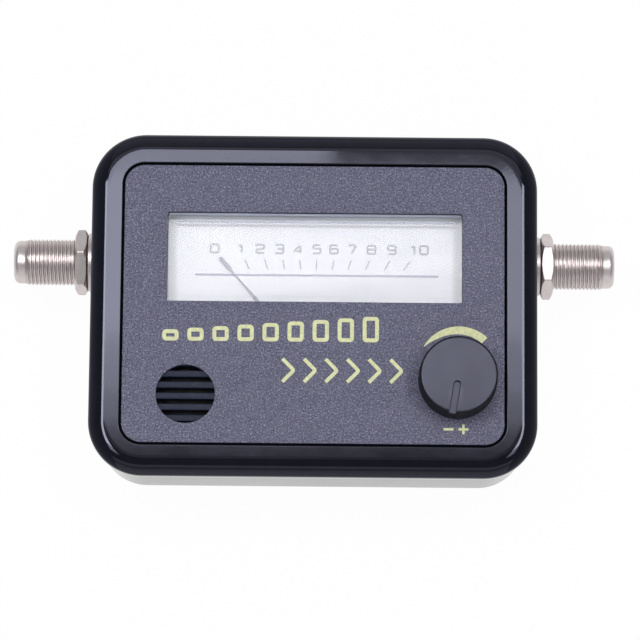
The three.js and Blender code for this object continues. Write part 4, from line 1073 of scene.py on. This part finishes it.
def barrel_rows():
    """Rows of radius, height and thread depth, from the flange out to the nose and back down the bore."""
    inside = -REAR_WALL - SOCKET_FLANGE_THICKNESS
    thread_end = SOCKET_END - NOSE_LENGTH
    rows = [
        (SOCKET_BORE, inside, 0),
        (SOCKET_FLANGE, inside, 0),
        (SOCKET_FLANGE, -REAR_WALL, 0),
        (THREAD_RADIUS - THREAD_DEPTH, -REAR_WALL, 0),
    ]
    count = round((thread_end + REAR_WALL) / THREAD_PITCH * THREAD_ROWS)
    for row in range(count + 1):
        z = -REAR_WALL + THREAD_MARGIN + (thread_end + REAR_WALL - 2 * THREAD_MARGIN) * row / count
        fade = min(1, (thread_end - z) / THREAD_PITCH)
        rows.append((THREAD_RADIUS, z, fade))
    rows.append((NOSE_RADIUS, thread_end, 0))
    nose_centre = (NOSE_RADIUS - NOSE_ROUNDING, SOCKET_END - NOSE_ROUNDING)
    for radius, z in arc(nose_centre, NOSE_ROUNDING, start=0, end=80, steps=10):
        rows.append((radius, z, 0))
    rows.append((NOSE_RADIUS - NOSE_ROUNDING, SOCKET_END, 0))
    return rows + [(SOCKET_BORE + WASHER_EDGE, SOCKET_END, 0), (SOCKET_BORE, SOCKET_END - WASHER_EDGE, 0)]


def socket_barrel(name):
    loops = []
    for radius, z, fade in barrel_rows():
        loop = []
        for side in range(ROUND_SIDES):
            angle = side / ROUND_SIDES * math.tau
            depth = THREAD_DEPTH * fade * thread_share(z / THREAD_PITCH - angle / math.tau)
            if radius == THREAD_RADIUS:
                depth = max(depth, (THREAD_RADIUS - NOSE_RADIUS) * (1 - fade))
            loop.append(((radius - depth) * math.cos(angle), (radius - depth) * math.sin(angle), z))
        loops.append(loop)
    return skinned(name, loops, ends=False)


def ring_profile(inner, outer, low, high):
    edge = WASHER_EDGE
    rim = [(outer - edge, low), (outer, low + edge), (outer, high - edge), (outer - edge, high)]
    return [(inner, low), *rim, (inner, high)]


def socket_insulator(name):
    low = -REAR_WALL - SOCKET_FLANGE_THICKNESS
    high = SOCKET_END - INSULATOR_SETBACK
    step = high - CONTACT_HOLE_DEPTH
    return turned(name, [
        (CONTACT_CHANNEL, low), (INSULATOR_RADIUS, low),
        (INSULATOR_RADIUS, high - WASHER_EDGE), (INSULATOR_RADIUS - WASHER_EDGE, high),
        (CONTACT_HOLE + WASHER_EDGE * 2, high), (CONTACT_HOLE, high - WASHER_EDGE * 2),
        (CONTACT_HOLE, step), (CONTACT_CHANNEL, step),
    ], TURNED_SIDES)


def nut_outline(z):
    """A hexagon whose six corners are cut off by a narrow edge."""
    corners = [Vector(corner) for corner in circle(NUT_CORNER_RADIUS, z, sides=6)]
    outline = []
    for at, here in enumerate(corners):
        for neighbour in (corners[at - 1], corners[(at + 1) % len(corners)]):
            outline.append(tuple(here + (neighbour - here).normalized() * NUT_EDGE / math.sqrt(3)))
    return outline


def socket_nut(name):
    low, high = NUT
    nut = skinned(name, [nut_outline(z) for z in (low, high)])
    shape = turned("chamfer", [
        (AXIS_RADIUS, low), (NUT_FLAT_RADIUS - NUT_EDGE, low),
        (NUT_CORNER_RADIUS + NUT_EDGE, low + NUT_CHAMFER),
        (NUT_CORNER_RADIUS + NUT_EDGE, high - NUT_CHAMFER),
        (NUT_FLAT_RADIUS - NUT_EDGE, high), (AXIS_RADIUS, high),
    ], FINE_SIDES, closed=False)
    combined(nut, [shape], "INTERSECT")
    return combined(nut, [cylinder(WASHER_BORE, low - OVERRUN, high + OVERRUN)], "DIFFERENCE")


def lock_washer(name):
    low, high = LOCK_WASHER
    ring = turned(name, ring_profile(LOCK_WASHER_BORE, WASHER_RADIUS, low, high))
    split = block(LOCK_WASHER_SPLIT, WASHER_RADIUS, low - OVERRUN, high + OVERRUN, (0, WASHER_RADIUS))
    return combined(ring, [split], "DIFFERENCE")


def dull_thread_roots(barrel):
    """Paints shade on the thread below its crests with a darker metal look."""
    barrel.data.materials.append(THREAD_ROOT_PAINTED_SHADE)
    shaded_radius = THREAD_RADIUS - THREAD_DEPTH * THREAD_SHADE_SHARE
    for face in barrel.data.polygons:
        centre = face.center / MM
        radius = (Vector((centre.y, centre.z)) - SOCKET_PLACE).length
        threaded = SOCKET_WALL < abs(centre.x) < SOCKET_WALL + SOCKET_END - NOSE_LENGTH
        if threaded and SOCKET_BORE + WASHER_EDGE < radius < shaded_radius:
            face.material_index = 1


def make_socket(name, side):
    outward_turn = Matrix.Rotation(side * math.pi / 2, 4, "Y")
    outward = at_millimetres(side * SOCKET_WALL, *SOCKET_PLACE) @ outward_turn
    flat = turned(f"{name}_plain_washer", ring_profile(WASHER_BORE, WASHER_RADIUS, *FLAT_WASHER))
    turn = math.pi / 2 + NUT_TURNS[name]
    nut = placed(socket_nut(f"{name}_chamfered_nut"), Matrix.Rotation(turn, 4, "Z"))
    pieces = [
        (socket_barrel(f"{name}_threaded_barrel"), "nickel", "socket_barrel"),
        (socket_insulator(f"{name}_turned_insulator"), "insulator", "socket_insulator"),
        (flat, "nickel", "flat_washer"),
        (lock_washer(f"{name}_split_washer"), "nickel", "lock_washer"),
        (nut, "nickel", "socket_nut"),
    ]
    for piece, slot, node in pieces:
        smooth_angle = NUT_SMOOTH_ANGLE if node == "socket_nut" else SMOOTH_ANGLE
        smooth(placed(piece, outward), smooth_angle)
        finished(piece, slot, stands_for=[f"{name}_{node}"])
    dull_thread_roots(pieces[0][0])


# Prints on the face plate, all generic

def print_on_face(name, paths, width):
    finished(stroke(name, paths, width, CASE_TOP), "face_plate", material=FACE_PRINT)


def make_level_arc():
    """A wedge round the knob that thickens clockwise."""
    outer, inner = [], []
    for step in range(ARC_STEPS + 1):
        share = step / ARC_STEPS
        angle = ARC_START + (ARC_END - ARC_START) * share
        direction = Vector((math.cos(angle), math.sin(angle)))
        thickness = ARC_THIN + (ARC_THICK - ARC_THIN) * (1 - (1 - share) ** ARC_GROWTH)
        outer.append(tuple(ARC_CENTRE + direction * ARC_RADIUS))
        inner.append(tuple(ARC_CENTRE + direction * (ARC_RADIUS - thickness)))
    low = CASE_TOP - PRINT_SINK
    wedge = raised("level_arc", outer + inner[::-1], low, low + PRINT_THICKNESS)
    finished(smooth(wedge), "face_plate", material=FACE_PRINT)


def make_rising_bars():
    paths = []
    for bar in range(BAR_COUNT):
        share = bar / (BAR_COUNT - 1)
        height = BAR_LOW_HEIGHT + (BAR_HIGH_HEIGHT - BAR_LOW_HEIGHT) * share
        left = BAR_LEFT + bar * BAR_PITCH + BAR_STROKE / 2
        right = left + BAR_WIDTH - BAR_STROKE
        low = BAR_FOOT + BAR_STROKE / 2
        high = BAR_FOOT + height - BAR_STROKE / 2
        corners = [(left, low), (right, low), (right, high), (left, high)]
        paths.append((softened(corners, BAR_STROKE / 2, True), True))
    print_on_face("rising_bars", paths, BAR_STROKE)


def make_chevrons():
    paths = []
    for chevron in range(CHEVRON_COUNT):
        left = CHEVRON_LEFT + chevron * CHEVRON_PITCH
        half = CHEVRON_HEIGHT / 2
        point = (left + CHEVRON_REACH, CHEVRON_Y)
        corners = [(left, CHEVRON_Y + half), point, (left, CHEVRON_Y - half)]
        paths.append((softened(corners, CHEVRON_STROKE / 2, False), False))
    print_on_face("chevrons", paths, CHEVRON_STROKE)


def make_signs():
    half = SIGN_SIZE / 2
    paths = []
    for side in (-1, 1):
        x = KNOB_CENTRE.x - SIGN_SHIFT + side * SIGN_GAP / 2
        paths.append(([(x - half, SIGN_Y), (x + half, SIGN_Y)], False))
        if side > 0:
            paths.append(([(x, SIGN_Y - half), (x, SIGN_Y + half)], False))
    print_on_face("plus_and_minus", paths, SIGN_STROKE)


def finish_packed_nodes():
    for name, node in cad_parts.items():
        slot = node.data.materials[0].name.split(".")[0]
        # The sounder disc behind the grille is painted black for the shade inside the case
        node.data.materials[0] = SOUNDER_PAINTED_SHADE if name == "sounder_disc" else LOOKS[slot]


# Floor, light and camera

def floor_look():
    """A pale floor that keeps some of the shadow and reads white to the camera and in reflections."""
    look = Look("floor", (0.95, 0.95, 0.95), 0.9, Specular_IOR_Level=0)
    white = look.nodes.new("ShaderNodeEmission")
    white.inputs["Strength"].default_value = 1
    rays = ["Is Camera Ray", "Is Glossy Ray", "Is Transmission Ray"]
    return look.shown_as(white.outputs["Emission"], rays, FLOOR_WHITE_SHARE)


def make_floor():
    corners = [(FLOOR_REACH * x, FLOOR_REACH * y, 0) for x, y in CORNER_SIDES]
    floor = solid("floor", corners, [range(len(corners))])
    floor.data.materials.append(floor_look())


def add_lamp(name, place, size, radiance):
    """A soft box at that place in metres, turned to the object."""
    light = bpy.data.lights.new(name, "AREA")
    light.shape = "RECTANGLE"
    light.size, light.size_y = size
    light.energy = radiance * math.pi * size[0] * size[1]
    lamp = link(light, name)
    away = place.normalized()
    along = (Vector((1, 0, 0)) - away * away.x).normalized()
    turned_to = Matrix((along, away.cross(along), away)).transposed().to_4x4()
    lamp.matrix_world = Matrix.Translation(place) @ turned_to
    lamp.visible_camera = False


def overhead(distance, tilt, sideways=0.0):
    """A place over the object, tilted towards the face's upper edge and to a side, in degrees."""
    back, side = math.radians(tilt), math.radians(sideways)
    level = math.cos(side)
    return Vector((math.sin(side), level * math.sin(back), level * math.cos(back))) * distance


def horizon_world():
    """Soft light from all round that is brighter towards the horizon than overhead."""
    world = bpy.context.scene.world or bpy.data.worlds.new("studio")
    bpy.context.scene.world = world
    world.use_nodes = True
    nodes, links = world.node_tree.nodes, world.node_tree.links
    direction = nodes.new("ShaderNodeTexCoord").outputs["Generated"]
    split = nodes.new("ShaderNodeSeparateXYZ")
    links.new(direction, split.inputs["Vector"])
    ramp = nodes.new("ShaderNodeValToRGB")
    ramp.color_ramp.interpolation = "EASE"
    low, high = ramp.color_ramp.elements
    low.position, high.position = HORIZON_HEIGHT, ZENITH_HEIGHT
    low.color, high.color = HORIZON_COLOR, ZENITH_COLOR
    links.new(split.outputs["Z"], ramp.inputs["Fac"])
    links.new(ramp.outputs["Color"], nodes["Background"].inputs["Color"])


def add_key_row(side, start, end, radiance):
    place = overhead(KEY_DISTANCE, (start + end) / 2) + Vector((KEY_SEAM + side * KEY_WIDTH / 2, 0, 0))
    depth = 2 * KEY_DISTANCE * math.tan(math.radians(end - start) / 2)
    add_lamp("key_row", place, (KEY_WIDTH, depth), radiance)


def light_scene():
    horizon_world()
    for side, share in ((-1, 1), (1, KEY_RIGHT_SHARE)):
        for start, end, radiance in KEY_ROWS:
            add_key_row(side, start, end, radiance * share)
    for row in KEY_FAR_ROWS:
        add_key_row(*row)
    for name, direction, size, radiance in OVERHEAD_LAMPS:
        add_lamp(name, overhead(*direction), size, radiance)
    for name, place, size, radiance in CARDS:
        add_lamp(name, Vector(place), size, radiance)


def make_camera():
    data = bpy.data.cameras.new("camera")
    data.sensor_width = SENSOR
    data.lens = FOCAL_PIXELS / IMAGE_SIZE * SENSOR
    data.shift_x = (IMAGE_SIZE / 2 - AIM_PIXEL[0]) / IMAGE_SIZE
    data.shift_y = -(IMAGE_SIZE / 2 - AIM_PIXEL[1]) / IMAGE_SIZE
    data.clip_start = 0.01
    data.clip_end = 20
    camera = link(data, "camera")
    back = Vector((0, -math.sin(CAMERA_TILT), math.cos(CAMERA_TILT)))
    level = Matrix.Rotation(CAMERA_TILT, 4, "X")
    rolled = Matrix.Rotation(CAMERA_ROLL, 4, "Z")
    aim = Vector((0, 0, CASE_TOP * MM))
    camera.matrix_world = Matrix.Translation(aim + back * CAMERA_DISTANCE) @ level @ rolled
    bpy.context.scene.camera = camera


make_camera()
finish_packed_nodes()
make_front_shell()
make_face_plate()
make_rear_case()
make_case_screws()
make_window_cover()
make_dial_numbers()
make_dial_ticks()
make_dial_line()
make_needle()
make_knob()
make_socket("right", 1)
make_socket("left", -1)
make_level_arc()
make_rising_bars()
make_chevrons()
make_signs()
make_floor()
light_scene()
bpy.context.scene.view_settings.view_transform = "Standard"
